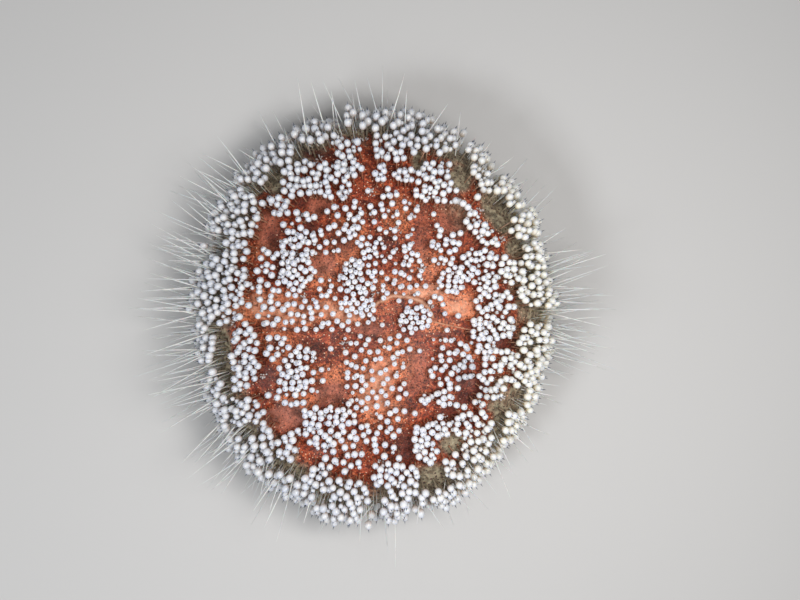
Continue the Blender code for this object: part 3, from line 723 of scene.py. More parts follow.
def plant(name, template, roots, material):
    """Join one copy of the template for each root into a piece."""
    points, faces = template
    height = points[:, 2]
    angle = np.arctan2(points[:, 1], points[:, 0])
    fade = UV_PATCH_RADIUS * (1.0 - np.clip(height, 0.0, 0.999))
    patch = np.stack([np.cos(angle) * fade, np.sin(angle) * fade], axis=1)
    corners = np.concatenate([np.array(face) for face in faces])
    all_points, all_faces, all_tints, all_uvs = [], [], [], []
    for number, (base, way, width, length, bend, twist, uv, tint) in enumerate(roots):
        side = way.orthogonal().normalized()
        side.rotate(Matrix.Rotation(twist, 3, way))
        turned = np.array((side, way.cross(side), way)).T
        local = points * (width, width, length)
        all_points.append(local @ turned.T + np.array(base) + np.outer(height * height, np.array(bend)))
        shift = number * len(points)
        all_faces.extend([tuple(corner + shift for corner in face) for face in faces])
        chance, dark, warm = (np.full_like(height, value) for value in tint)
        all_tints.append(np.stack([chance, height, dark, warm], axis=1))
        all_uvs.append((np.array(uv) + patch)[corners])
    mesh = bpy.data.meshes.new(name)
    mesh.from_pydata(np.concatenate(all_points), [], all_faces)
    tint_layer = mesh.color_attributes.new("tint", "FLOAT_COLOR", "POINT")
    tint_layer.data.foreach_set("color", np.concatenate(all_tints).ravel())
    unwrap = mesh.uv_layers.new(name="OFBake")
    unwrap.data.foreach_set("uv", np.concatenate(all_uvs).ravel())
    mesh.shade_smooth()
    piece = bpy.data.objects.new(name, mesh)
    bpy.context.scene.collection.objects.link(piece)
    mesh.materials.append(material)
    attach(piece, "root")
    triangles = sum(len(face) - 2 for face in faces) * len(roots)
    print(name, len(roots), "copies,", triangles, "triangles")


# %% [markdown]
# ## Templates: stalk, sac and needle
#
# A venom sac is a smooth bead of skin round the end of a thin spine, with the needle's dark point just
# showing. The stalk is a cone with a swollen foot, the sac is a ball pinched towards its tip, and the
# needle is a slim cone. Nine sides are enough for something three millimetres wide.

# %% Stalk, sac and needle templates
SAC_SIDES = 9
SAC_RINGS = 6


def select_where(piece, test):
    """Select the points of a mesh in edit mode that pass a test on their place."""
    bpy.ops.object.mode_set(mode="EDIT")
    bpy.ops.mesh.select_mode(type="VERT")
    bpy.ops.mesh.select_all(action="DESELECT")
    bpy.ops.object.mode_set(mode="OBJECT")
    for vertex in piece.data.vertices:
        vertex.select = test(vertex.co)
    bpy.ops.object.mode_set(mode="EDIT")


def scale_selected(factor):
    bpy.ops.transform.resize(value=(factor, factor, 1.0), center_override=(0.0, 0.0, 0.0))
    bpy.ops.object.mode_set(mode="OBJECT")


def make_sac():
    """A ball that is slimmer towards its foot and drawn out a little towards its tip."""
    bpy.ops.object.select_all(action="DESELECT")
    bpy.ops.mesh.primitive_uv_sphere_add(segments=SAC_SIDES, ring_count=SAC_RINGS, radius=1.0,
                                         location=(0.0, 0.0, 0.0))
    sac = bpy.context.object
    select_where(sac, lambda place: place.z < -0.7)
    scale_selected(0.80)
    select_where(sac, lambda place: place.z > 0.7)
    scale_selected(0.90)
    bpy.ops.object.mode_set(mode="EDIT")
    bpy.ops.mesh.select_all(action="SELECT")
    bpy.ops.transform.resize(value=(1.0, 1.0, 0.5), center_override=(0.0, 0.0, 0.0))
    bpy.ops.transform.translate(value=(0.0, 0.0, 0.5))
    bpy.ops.object.mode_set(mode="OBJECT")
    return take_template(sac)


def make_rod(sides, rings, profile):
    """A closed rod from height 0 to 1, shaped by scaling its rings."""
    bpy.ops.object.select_all(action="DESELECT")
    bpy.ops.mesh.primitive_cylinder_add(vertices=sides, radius=1.0, depth=1.0, end_fill_type="TRIFAN",
                                        location=(0.0, 0.0, 0.5))
    rod = bpy.context.object
    bpy.ops.object.transform_apply(location=True)
    for ring in range(1, rings):
        bpy.ops.object.mode_set(mode="EDIT")
        bpy.ops.mesh.select_all(action="SELECT")
        bpy.ops.mesh.bisect(plane_co=(0.0, 0.0, ring / rings), plane_no=(0.0, 0.0, 1.0))
        bpy.ops.object.mode_set(mode="OBJECT")
    for ring in range(rings + 1):
        height = ring / rings
        select_where(rod, lambda place: abs(place.z - height) < 0.01)
        scale_selected(profile(height))
    return take_template(rod)


SAC_TEMPLATE = make_sac()
STALK_TEMPLATE = make_rod(5, 3, lambda height: 1.8 if height == 0.0 else 1.0 - 0.35 * height)
NEEDLE_TEMPLATE = make_rod(4, 1, lambda height: 1.0 - 0.92 * height)
LONG_TEMPLATE = make_rod(4, 5, lambda height: 1.0 - 0.80 * height ** 2.2)

# %% [markdown]
# ## Where the sacs stand
#
# The sacs crowd together in clumps and rows, with smooth skin between them, and stand more singly on the
# orange fields. Darts are thrown at the whole upper side, and each lands in a clump, in a looser field, on
# bare skin or elsewhere. Darts alone would fill a clump as evenly as a honeycomb, and real clumps are
# ragged. So each sac draws how many near neighbours it bears, from a list that differs from place to
# place, and a new one stays only where neither it nor a neighbour gets too many.

# %% How a sac is sized and kept
SAC_SPINE_LENGTH = 0.0075
SAC_SPINE_LENGTH_AT_RIM = 0.0105
LENGTH_SPREAD = (0.74, 1.10)
SAC_RADIUS = 0.00131
SAC_RADIUS_AT_RIM = 0.00188
RADIUS_SPREAD = (0.88, 1.08)
GROWTH_POWER = 2.2
YOUNG_CHANCE = 0.08
YOUNG_WIDTH = 0.62
YOUNG_LENGTH = 0.80
OUTWARD_LEAN = 0.30
TILT = 0.18
SHORT_FRINGE = 0.34
SHORT_FRINGE_BEARING = 315.0
SAC_MIDDLE = 0.80
SQUEEZE = 0.86
TOUCHING = 1.10
CELL = 0.0070

sac_list = []
sac_grid = {}


def soft_step(low, high, value):
    """The same smooth rise as soft_steps, for one number."""
    part = min(1.0, max(0.0, (value - low) / (high - low)))
    return part * part * (3.0 - 2.0 * part)


def turn_between(first, second):
    """The smaller angle between two bearings."""
    return abs((first - second + 180.0) % 360.0 - 180.0)


def near_by(grid, place):
    """Things near a place, looked up in a grid of small boxes."""
    x, y, z = (int(value // CELL) for value in place)
    for i in (-1, 0, 1):
        for j in (-1, 0, 1):
            for k in (-1, 0, 1):
                yield from grid.get((x + i, y + j, z + k), ())


def set_middle(sac):
    sac["middle"] = sac["root"] + sac["way"] * sac["length"] * SAC_MIDDLE


def throw_sac(bearing, share, below=False):
    """Size and stand one sac at a place of the skin, without asking whether there is room."""
    root = skin_point(bearing, share, below)
    normal = skin_normal(bearing, share, below)
    growth = share ** GROWTH_POWER
    length = SAC_SPINE_LENGTH + (SAC_SPINE_LENGTH_AT_RIM - SAC_SPINE_LENGTH) * growth
    length *= draw.uniform(*LENGTH_SPREAD)
    radius = (SAC_RADIUS + (SAC_RADIUS_AT_RIM - SAC_RADIUS) * growth) * draw.uniform(*RADIUS_SPREAD)
    if draw.random() < YOUNG_CHANCE:
        radius *= YOUNG_WIDTH
        length *= YOUNG_LENGTH
    fringe = SHORT_FRINGE * soft_step(0.80, 0.95, share)
    length *= 1.0 - fringe * soft_step(36.0, 18.0, turn_between(bearing, SHORT_FRINGE_BEARING))
    tilt = Vector((draw.uniform(-1, 1), draw.uniform(-1, 1), draw.uniform(-1, 1))) * TILT
    way = (normal + heading(bearing) * OUTWARD_LEAN * share + tilt).normalized()
    sac = {"root": root, "normal": normal, "way": way, "length": length, "radius": radius, "share": share,
           "tint": draw.random(), "friends": 0, "uv": skin_uv(bearing, share, below)}
    set_middle(sac)
    return sac


def keep_if_roomy(sac, gap, crowds):
    """Keep a sac unless it presses into another, or it or a neighbour has as many near it as it bears."""
    sac["most"] = draw.choice(crowds)
    friends = []
    for other in near_by(sac_grid, sac["middle"]):
        apart = (other["middle"] - sac["middle"]).length
        both = other["radius"] + sac["radius"]
        if apart < SQUEEZE * both:
            return
        if apart < max(gap, TOUCHING * both):
            friends.append(other)
    if len(friends) > sac["most"] or any(other["friends"] >= other["most"] for other in friends):
        return
    for other in friends:
        other["friends"] += 1
    sac["friends"] = len(friends)
    sac_list.append(sac)
    key = tuple(int(value // CELL) for value in sac["middle"])
    sac_grid.setdefault(key, []).append(sac)


print("a sac is", round(2000 * SAC_RADIUS, 1), "mm wide on the back and", round(2000 * SAC_RADIUS_AT_RIM, 1),
      "mm at the rim")

# %% Sacs of the upper side
DARTS = 60000
DART_POWER = 0.45
WOBBLE_SCALE = 200.0
WOBBLE = 0.42
RIM_SHARE = 0.80
RIGHT_PART = 0.025
TOP_RIM = 0.064
SMALL_SAC = 0.78
FRIENDS_IN_CLUMP = (3, 4, 5, 6)
FRIENDS_ON_THE_RIGHT = (1, 2, 3, 4)
FRIENDS_AT_LEFT_RIM = (1, 1, 2, 3)
FRIENDS_AT_RIM = (0, 1, 1, 2)
FRIENDS_AT_TOP_RIM = (0, 0, 0, 1)
FRIENDS_IN_FIELD = (0, 1, 2, 2)
NO_FRIENDS = (0,)
LOOSE_GAP = 0.0036
ELSEWHERE_GAP = 0.0064
RIM_GAP = 0.0090
SMOOTH_PATCHES = PINK_PATCHES + BROWN_PATCHES + MAROON_AND_SHADE_PATCHES


def friends_in_clump(sac):
    """The list that a crowded sac draws its number of near neighbours from."""
    if sac["share"] <= RIM_SHARE:
        return FRIENDS_ON_THE_RIGHT if sac["root"].x > RIGHT_PART else FRIENDS_IN_CLUMP
    if sac["root"].y > TOP_RIM:
        return FRIENDS_AT_TOP_RIM
    return FRIENDS_AT_RIM if sac["root"].x > 0.0 else FRIENDS_AT_LEFT_RIM


thrown = [throw_sac(draw.uniform(0.0, 360.0), draw.random() ** DART_POWER * 0.999) for _ in range(DARTS)]
sacs_seen = seen_places([sac["middle"][:] for sac in thrown])
wobble = np.array([noise.fractal(sac["root"] * WOBBLE_SCALE, 1.0, 2.0, 2) for sac in thrown]) * WOBBLE
in_clump = depth_in(CROWDED_CLUMPS + GREY_CLUMPS, sacs_seen) + wobble
in_small = depth_in(SMALL_CLUMPS, sacs_seen) + wobble
in_loose = depth_in(LOOSE_FIELDS, sacs_seen)
in_smooth = depth_in(SMOOTH_PATCHES, sacs_seen) + wobble
for sac, clump, small, smooth in zip(thrown, in_clump, in_small, in_smooth):
    if smooth >= 0.80 and min(clump, small) <= 1.0:
        if small < 1.0:
            sac["radius"] *= SMALL_SAC
        keep_if_roomy(sac, 0.0, friends_in_clump(sac))
print("crowded sacs", len(sac_list))
for sac, clump, loose, smooth in zip(thrown, in_clump, in_loose, in_smooth):
    if smooth >= 0.95 and clump >= 1.0:
        if loose < 1.0:
            keep_if_roomy(sac, LOOSE_GAP, FRIENDS_IN_FIELD)
        else:
            keep_if_roomy(sac, RIM_GAP if sac["share"] > RIM_SHARE else ELSEWHERE_GAP, NO_FRIENDS)
print("all sacs on the upper side", len(sac_list))

# %% [markdown]
# ## Sacs of the flank
#
# Near the widest line the skin turns down steeply, so places there are drawn by height instead of by
# distance from the axis. From above, the rim shows clumps with gaps between them. A sac that would be seen
# in a gap is therefore left out, or is short and droops. Lower down, where the photograph doesn't show
# them, the sacs are spread evenly.

# %% Flank sacs
FLANK_DARTS = 6000
HIGHEST_LEVEL = -0.28
LOWEST_SAC_LEVEL = 0.86
SEEN_LEVEL = 0.28
FLANK_SHORTENING = 0.86
FLANK_LIFT = Vector((0.0, 0.0, 0.15))
FLANK_SAC_GAP = 0.0043
FRIENDS_ON_FLANK = (0, 1)
BARE_CHANCE = 0.93
DROOP = Vector((0.0, 0.0, -0.5))
DROOPING_LENGTH = 0.55
PATCH_SCALE = 45.0

rim_start = len(sac_list)


def flank_place(lowest):
    """A bearing, a share and a level, spaced evenly by height from just above the widest line down."""
    level = draw.uniform(HIGHEST_LEVEL, lowest)
    power = SOLE_POWER if level > 0.0 else DOME_POWER
    return draw.uniform(0.0, 360.0), (1.0 - abs(level) ** power) ** (1.0 / power), level


flank_thrown = []
for _ in range(FLANK_DARTS):
    bearing, share, level = flank_place(LOWEST_SAC_LEVEL)
    sac = throw_sac(bearing, min(share, 0.9995), level > 0.0)
    sac["level"] = level
    if level > 0.0:
        sac["length"] *= FLANK_SHORTENING
    sac["way"] = (sac["way"] + FLANK_LIFT).normalized()
    set_middle(sac)
    flank_thrown.append(sac)
flank_seen = seen_places([sac["middle"][:] for sac in flank_thrown])
for sac, clump in zip(flank_thrown, depth_in(CROWDED_CLUMPS, flank_seen)):
    patchy = noise.noise(sac["root"] * PATCH_SCALE)
    if sac["level"] < SEEN_LEVEL and clump > 1.0 + 0.3 * patchy:
        if draw.random() < BARE_CHANCE:
            continue
        sac["length"] *= DROOPING_LENGTH
        sac["way"] = (sac["normal"] + DROOP).normalized()
        set_middle(sac)
    keep_if_roomy(sac, FLANK_SAC_GAP, NO_FRIENDS if sac["root"].y > TOP_RIM else FRIENDS_ON_FLANK)
print("sacs on the flank", len(sac_list) - rim_start)

# %% [markdown]
# ## The finish of stalk, sac and needle
#
# A venom sac is a tight bag of milky skin. Light goes a little way into it and comes out softened, which
# subsurface scattering gives, with a nearly even radius, because a redder one would tint its edge. Its foot
# is warmer and its tip bluish, so its colour follows its height. Its colour also carries painted shade: sacs
# are painted greyer the farther they stand from the brightly lit middle, a falloff of light painted into the
# colour, and the sacs of the grey clumps are painted greyer too. The stalk takes the tone of the skin that
# it stands on. The sacs are the heaviest part, so those of the back and of the rim are two pieces.

# %% The finish of sac, stalk and needle
def sac_material():
    painter = Painter("venom_sac")
    chance, along, grey, warm = painter.attribute("tint")
    cool = painter.mix(chance, (0.83, 0.85, 0.92), (0.97, 0.96, 0.97))
    cream = painter.mix(chance, (0.88, 0.88, 0.85), (0.97, 0.94, 0.84))
    colour = painter.mix(warm, cool, cream)
    foot = painter.mix(warm, (0.62, 0.44, 0.34), (0.74, 0.56, 0.26))
    colour = painter.mix(painter.stretch(along, 0.62, 0.05, 0.0, 0.80), colour, foot)
    colour = painter.mix(painter.stretch(along, 0.80, 0.97, 0.0, 0.62), colour, (0.66, 0.68, 0.84))
    # painted shade: the third tint channel greys each sac far from the lit middle, and in the grey clumps
    colour = painter.mix(painter.times(grey, 0.36), colour, (0.36, 0.38, 0.39))
    painter.bump(painter.noise(1500.0), 0.00008, 0.5)
    return painter.finish(colour, Roughness=painter.stretch(painter.noise(600.0), 0.3, 0.7, 0.24, 0.38),
                          Subsurface_Weight=0.70, Subsurface_Scale=0.0016, Subsurface_Radius=(1.0, 0.9, 0.8),
                          Coat_Weight=0.12, Coat_Roughness=0.25)


def stalk_material():
    painter = Painter("spine_stalk")
    chance, _, sandy, _ = painter.attribute("tint")
    red = painter.mix(chance, (0.38, 0.14, 0.08), (0.58, 0.32, 0.20))
    grey = painter.mix(chance, (0.20, 0.17, 0.11), (0.44, 0.40, 0.30))
    mottle = painter.stretch(painter.noise(1200.0), 0.35, 0.65, 0.0, 0.6)
    colour = painter.mix(mottle, painter.mix(sandy, red, grey), (0.16, 0.08, 0.05))
    painter.bump(painter.noise(2500.0), 0.00006, 0.6)
    return painter.finish(colour, Roughness=0.42)


def needle_material():
    painter = Painter("needle_tip")
    colour = painter.mix(painter.attribute("tint")[0], (0.06, 0.08, 0.12), (0.18, 0.22, 0.28))
    mottle = painter.stretch(painter.noise(1800.0), 0.3, 0.7, 0.0, 0.4)
    return painter.finish(painter.mix(mottle, colour, (0.03, 0.03, 0.04)), Roughness=0.30)


# %% Sac pieces
ROOT_DEPTH = 0.0009
STALK_END = 0.58
STALK_RADIUS = 0.00034
SAC_HALF_HEIGHT = 1.25
NEEDLE_START = 1.93
NEEDLE_RADIUS = 0.00027
NEEDLE_LENGTH = 0.0003
NEEDLE_GROWTH = 0.0013
# seen place of the brightest light, in millimetres; sacs are painted greyer away from it, as painted shade
PAINTED_LIGHT_MIDDLE = (28.0, -12.0)

stalks, back_sacs, rim_sacs, needles = [], [], [], []
list_seen = seen_places([sac["middle"][:] for sac in sac_list])
for sac, seen, grey in zip(sac_list, list_seen, depth_in(GREY_CLUMPS, list_seen)):
    way, share, uv = sac["way"], sac["share"], sac["uv"]
    twist = draw.uniform(0.0, TWIST_RANGE)
    # painted shade: the falloff of light away from the lit middle, painted as grey; the grey clumps are
    # greyer too
    painted_shade_and_grey = max(soft_step(48.0, 116.0, math.dist(seen, PAINTED_LIGHT_MIDDLE)), 0.95 * soft_step(1.1, 0.8, grey))
    warm = soft_step(0.01, 0.07, sac["root"].x) * soft_step(0.45, 0.85, share)
    tint = (sac["tint"], painted_shade_and_grey, warm)
    sandy = (sac["tint"], soft_step(0.80, 0.90, share), 1.0)
    base = sac["root"] - sac["normal"] * ROOT_DEPTH
    reach = sac["root"] + way * sac["length"] * STALK_END - base
    stalks.append((base, reach.normalized(), STALK_RADIUS, reach.length, NO_BEND, twist, uv, sandy))
    half = sac["radius"] * SAC_HALF_HEIGHT
    start = sac["middle"] - way * half
    sacs = back_sacs if share < RIM_SHARE else rim_sacs
    sacs.append((start, way, sac["radius"], half * 2.0, NO_BEND, twist, uv, tint))
    length = NEEDLE_LENGTH + NEEDLE_GROWTH * soft_step(0.40, 0.95, share)
    needles.append((start + way * half * NEEDLE_START, way, NEEDLE_RADIUS, length, NO_BEND, twist, uv, tint))
plant("sac_stalks", STALK_TEMPLATE, stalks, stalk_material())
sac_finish = sac_material()
plant("venom_sacs_of_back", SAC_TEMPLATE, back_sacs, sac_finish)
plant("venom_sacs_of_rim", SAC_TEMPLATE, rim_sacs, sac_finish)
plant("sac_needles", NEEDLE_TEMPLATE, needles, needle_material())

# %% [markdown]
# ## Dots and grains on the skin
#
# Bare skin and the flank are dotted with small dark knobs, each in a paler ring, and the red skin with
# tiny pale orange grains. The dark ones keep off the glowing fields. As painted spots they would blur, so
# they are planted as low domes that share one template and are coloured by height. They stand at least a
# little apart, as the real ones do.

# %% Dots and grains
DOT_DARTS = 38000
DOT_DART_POWER = 0.48
FLANK_DOT_DARTS = 9000
LOWEST_DOT_LEVEL = 0.95
DOT_SHARE = 0.60
DOT_GAP_ON_BARE = 0.00175
DOT_GAP_ON_FLANK = 0.00205
DOT_GAP_ELSEWHERE = 0.00270
GRAIN_GAP = 0.00190
DOT_RADIUS = (0.00026, 0.00040)
DOT_RADIUS_ON_FLANK = (0.00046, 0.00062)
DOT_HEIGHT = 0.00034
PALE_GRAIN_RADIUS = (0.00026, 0.00044)
PALE_GRAIN_HEIGHT = 0.00036
DOME_SINK = 0.00008
FLANK_DOT_SHARE = 0.88
DOT_WOBBLE_SCALE = 220.0
DOT_WOBBLE = 0.35
GRAIN_PATCH_SCALE = 90.0
GRAIN_PATCH_LEVEL = -0.12
SMALL_CELL = 0.0025


def roomy(grid, place, gap):
    """Keep a place in a fine grid unless another lies too near."""
    x, y, z = (int(value // SMALL_CELL) for value in place)
    span = range(-int(gap // SMALL_CELL) - 1, int(gap // SMALL_CELL) + 2)
    for i in span:
        for j in span:
            for k in span:
                for other in grid.get((x + i, y + j, z + k), ()):
                    if (other - place).length < gap:
                        return False
    grid.setdefault((x, y, z), []).append(place)
    return True


def dome_material(name, low, middle, high):
    """A colour at the rim, half way up and on top of each small dome."""
    painter = Painter(name)
    chance, along, _, _ = painter.attribute("tint")
    colour = painter.mix(painter.stretch(along, 0.05, 0.45), low, middle)
    colour = painter.mix(painter.stretch(along, 0.45, 0.80), colour, high)
    colour = painter.mix(painter.times(chance, 0.30), colour, middle)
    painter.bump(painter.noise(3000.0), 0.00004, 0.5)
    return painter.finish(colour, Roughness=0.38)


DOME_TEMPLATE = make_rod(5, 2, lambda height: math.sqrt(1.0 - 0.88 * height * height))
darts = [(draw.uniform(0.0, 360.0), draw.random() ** DOT_DART_POWER * 0.999, False) for _ in range(DOT_DARTS)]
for _ in range(FLANK_DOT_DARTS):
    bearing, share, level = flank_place(LOWEST_DOT_LEVEL)
    darts.append((bearing, min(share, 0.9999), level > 0.0))
dart_places = [skin_point(*dart) for dart in darts]
dart_seen = seen_places([place[:] for place in dart_places])
dart_wobble = np.array([noise.noise(place * DOT_WOBBLE_SCALE) for place in dart_places]) * DOT_WOBBLE
dart_smooth = depth_in(SMOOTH_PATCHES, dart_seen) + dart_wobble
dart_peach = depth_in(PEACH_PATCHES, dart_seen) + dart_wobble
dots, grains = [], []
dot_grid, grain_grid = {}, {}
for (bearing, share, below), smooth, peachness, wobble in zip(darts, dart_smooth, dart_peach, dart_wobble):
    place, normal = on_skin(bearing, share, below)
    base = place - normal * DOME_SINK
    uv = skin_uv(bearing, share, below)
    on_flank = below or share > FLANK_DOT_SHARE + 0.1 * wobble
    kind = draw.random()
    if on_flank or (kind < DOT_SHARE and peachness > 0.75):
        gap = DOT_GAP_ON_FLANK if on_flank else DOT_GAP_ON_BARE if smooth < 1.0 else DOT_GAP_ELSEWHERE
        if roomy(dot_grid, place, gap):
            radius = draw.uniform(*(DOT_RADIUS_ON_FLANK if on_flank else DOT_RADIUS))
            dots.append(stand(base, normal, radius, DOT_HEIGHT, uv))
    elif smooth > 0.8 and noise.noise(place * GRAIN_PATCH_SCALE) > GRAIN_PATCH_LEVEL:
        if roomy(grain_grid, place, GRAIN_GAP):
            grains.append(stand(base, normal, draw.uniform(*PALE_GRAIN_RADIUS), PALE_GRAIN_HEIGHT, uv))
dot_finish = dome_material("dark_dot", (0.40, 0.20, 0.12), (0.09, 0.034, 0.022), (0.020, 0.008, 0.007))
grain_finish = dome_material("pale_grain", (0.60, 0.22, 0.10), (0.80, 0.42, 0.25), (0.90, 0.62, 0.46))
plant("skin_dots", DOME_TEMPLATE, dots, dot_finish)
plant("skin_grains", DOME_TEMPLATE, grains, grain_finish)

# %% [markdown]
# ## Long spines
#
# Long, thin, hollow spines without sacs stand out all round from under the rim. They are as thin as
# bristles, pale grey, and darker at the foot. The solids already carry some of them, so first each of those
# gets its bristle. Its tip is found in the solid's mesh as a long, narrow point, and its root by going back
# from there to the skin. A typed list would be shorter, but wrong as soon as a spine of the solids is moved.

# %% The finish of the bristles
def pale_spine_material():
    painter = Painter("pale_spine")
    chance, along, olive, _ = painter.attribute("tint")
    colour = painter.mix(chance, (0.62, 0.65, 0.66), (0.88, 0.88, 0.85))
    foot = painter.times(painter.stretch(along, 0.50, 0.02), olive)
    colour = painter.mix(foot, colour, (0.20, 0.15, 0.06))
    bands = painter.stretch(painter.noise(260.0), 0.50, 0.70, 0.0, 0.35)
    return painter.finish(painter.mix(bands, colour, (0.30, 0.28, 0.22)), Roughness=0.32,
                          Subsurface_Weight=0.15, Subsurface_Scale=0.0005)


pale_finish = pale_spine_material()

# %% Bristles on the solids' long spines
BRISTLE_RADIUS = 0.00035
BRISTLE_SPREAD = (0.8, 1.15)
BRISTLE_SEED = 12
SHARP_END_LENGTH = 0.0016
SHARP_END_HALF_WIDTH = 0.0006
ROOT_SEARCH_STEP = 0.0004
ROOT_SEARCH_STEPS = 200
DARK_END_BEARING = 355.0
DARK_END_HALF_ANGLE = 22.0
DARK_FOOT = 0.9
PALE_FOOT = 0.45


def plan_of(point):
    """Bearing and share of a point over the skin."""
    offset = (point - AXIS).to_2d()
    bearing = math.degrees(math.atan2(offset.y, offset.x))
    return bearing, offset.length / skin_reach(bearing)


def sharp_ends(mesh):
    """Tip and direction of each long spine of a solid, known by its long, narrow point."""
    around = {}
    for polygon in mesh.polygons:
        corners = [tuple(round(value, 6) for value in mesh.vertices[index].co) for index in polygon.vertices]
        for corner in corners:
            around.setdefault(corner, set()).update(other for other in corners if other != corner)
    for tip in sorted(around):
        others = [Vector(other) for other in sorted(around[tip])]
        middle = sum(others, Vector()) / len(others)
        shortest = min((Vector(tip) - other).length for other in others)
        widest = max((middle - other).length for other in others)
        if shortest > SHARP_END_LENGTH and widest < SHARP_END_HALF_WIDTH:
            yield Vector(tip), (Vector(tip) - middle).normalized()


def root_under(tip, way):
    """Follow a spine back from its tip to the place where it enters the skin."""
    for step in range(1, ROOT_SEARCH_STEPS):
        place = tip - way * ROOT_SEARCH_STEP * step
        bearing, share = plan_of(place)
        if share < 0.999 and profile_height(share, True) < place.z < profile_height(share, False):
            return place, bearing, share
    return None


def dark_foot(bearing):
    """How dark the foot of a bristle is: most at the right end of the body."""
    return DARK_FOOT if turn_between(bearing, DARK_END_BEARING) < DARK_END_HALF_ANGLE else PALE_FOOT


bristles = []
followed = []
spine_draw = random.Random(BRISTLE_SEED)
for name in sorted(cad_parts):
    for tip, way in sharp_ends(bpy.data.objects[name].data):
        found = root_under(tip, way)
        if found:
            root, bearing, share = found
            followed.append(bearing % 360.0)
            base = root - way * ROOT_DEPTH
            bristles.append(stand(base, way, BRISTLE_RADIUS * spine_draw.uniform(*BRISTLE_SPREAD),
                                  (tip - base).length, skin_uv(bearing, share, root.z < AMBITUS_HEIGHT),
                                  dark_foot(bearing), NO_BEND, spine_draw))
print("long spines that follow the solids", len(bristles))

# %% [markdown]
# ## The bristles between them
#
# Twice as many more stand between those of the solids. Their number changes round the body, as in the
# photograph, so it is listed by sectors, with those of the solids counted in. Within a sector the others are
# spaced evenly, with a little chance, and take turns at four slopes, because purely random bearings would
# leave holes and tangles. Each is tried in several places until its foot passes clear of the sacs.

# %% Bristles between
REACH_HALF_WIDTH = 0.1150
REACH_HALF_LENGTH = 0.1180
# bearing from and to, number of spines with those of the solids, least and most reach
BRISTLE_SECTORS = (
    (0, 16, 37, 0.80, 0.97), (16, 40, 12, 0.74, 0.92), (40, 80, 18, 0.72, 0.88), (80, 135, 54, 0.76, 0.97),
    (135, 160, 44, 0.80, 0.98), (160, 196, 78, 0.82, 0.99), (196, 222, 52, 0.80, 0.99),
    (222, 240, 34, 0.80, 0.99), (240, 300, 45, 0.74, 0.93), (300, 345, 24, 0.74, 0.92),
    (345, 360, 38, 0.80, 0.98),
)
# below the widest line or above it, shares from and to, rise in degrees from and to
BRISTLE_TIERS = ((True, 0.93, 0.995, -12.0, 6.0), (False, 0.95, 0.995, 2.0, 18.0),
                 (True, 0.93, 0.995, -12.0, 6.0), (False, 0.93, 0.99, 14.0, 30.0))
BRISTLE_TRIES = 30
BRISTLE_BEND = 0.0008
BRISTLE_SAG = (-0.0025, 0.0005)
TIP_SIDESTEP = 5.0
ROOM_ROUND_SAC = 0.0004


def passes_sacs(places):
    """Whether all places keep a little away from every sac."""
    return all((sac["middle"] - place).length > sac["radius"] + ROOM_ROUND_SAC
               for place in places for sac in near_by(sac_grid, place))


for first, last, count, least, most in BRISTLE_SECTORS:
    count -= sum(first <= bearing < last for bearing in followed)
    for index in range(count):
        below, low_share, high_share, low_rise, high_rise = BRISTLE_TIERS[index % len(BRISTLE_TIERS)]
        for _ in range(BRISTLE_TRIES):
            bearing = first + (last - first) * (index + spine_draw.random()) / count
            share = spine_draw.uniform(low_share, high_share)
            root = skin_point(bearing, share, below)
            distance = ellipse_distance(bearing, REACH_HALF_WIDTH, REACH_HALF_LENGTH)
            tip_way = heading(bearing + spine_draw.uniform(-TIP_SIDESTEP, TIP_SIDESTEP))
            tip = AXIS + tip_way * distance * spine_draw.uniform(least, most)
            run = (tip - root).to_2d().length
            tip.z = root.z + run * math.tan(math.radians(spine_draw.uniform(low_rise, high_rise)))
            if passes_sacs(root.lerp(tip, part) for part in (0.15, 0.25, 0.35, 0.5)):
                break
        base = root - heading(bearing) * ROOT_DEPTH
        aside = (draw.gauss(0.0, BRISTLE_BEND), draw.gauss(0.0, BRISTLE_BEND))
        bend = Vector((*aside, draw.uniform(*BRISTLE_SAG)))
        reach = tip - bend - base
        bristles.append(stand(base, reach.normalized(), BRISTLE_RADIUS * draw.uniform(*BRISTLE_SPREAD),
                              reach.length, skin_uv(bearing, share, below), dark_foot(bearing), bend))
plant("long_spines", LONG_TEMPLATE, bristles, pale_finish)

# %% [markdown]
# ## Rim needles
#
# Short white needles fill the gaps between the outer sacs, most of them on the left, where the photograph
# shows more. Darts are thrown at the rim again, and a needle stays only where it passes clear of every sac.

# %% Rim needles
NEEDLE_DARTS = 1100
NEEDLE_BEARING = 195.0
NEEDLE_BEARING_SPREAD = 60.0
LEFT_CHANCE = 0.7
UNDER_CHANCE = 0.4
NEEDLE_SHARE = (0.90, 0.998)
RIM_NEEDLE_RADIUS = 0.00020
RIM_NEEDLE_LENGTH = (0.0070, 0.0135)
RIM_NEEDLE_GAP = 0.0011

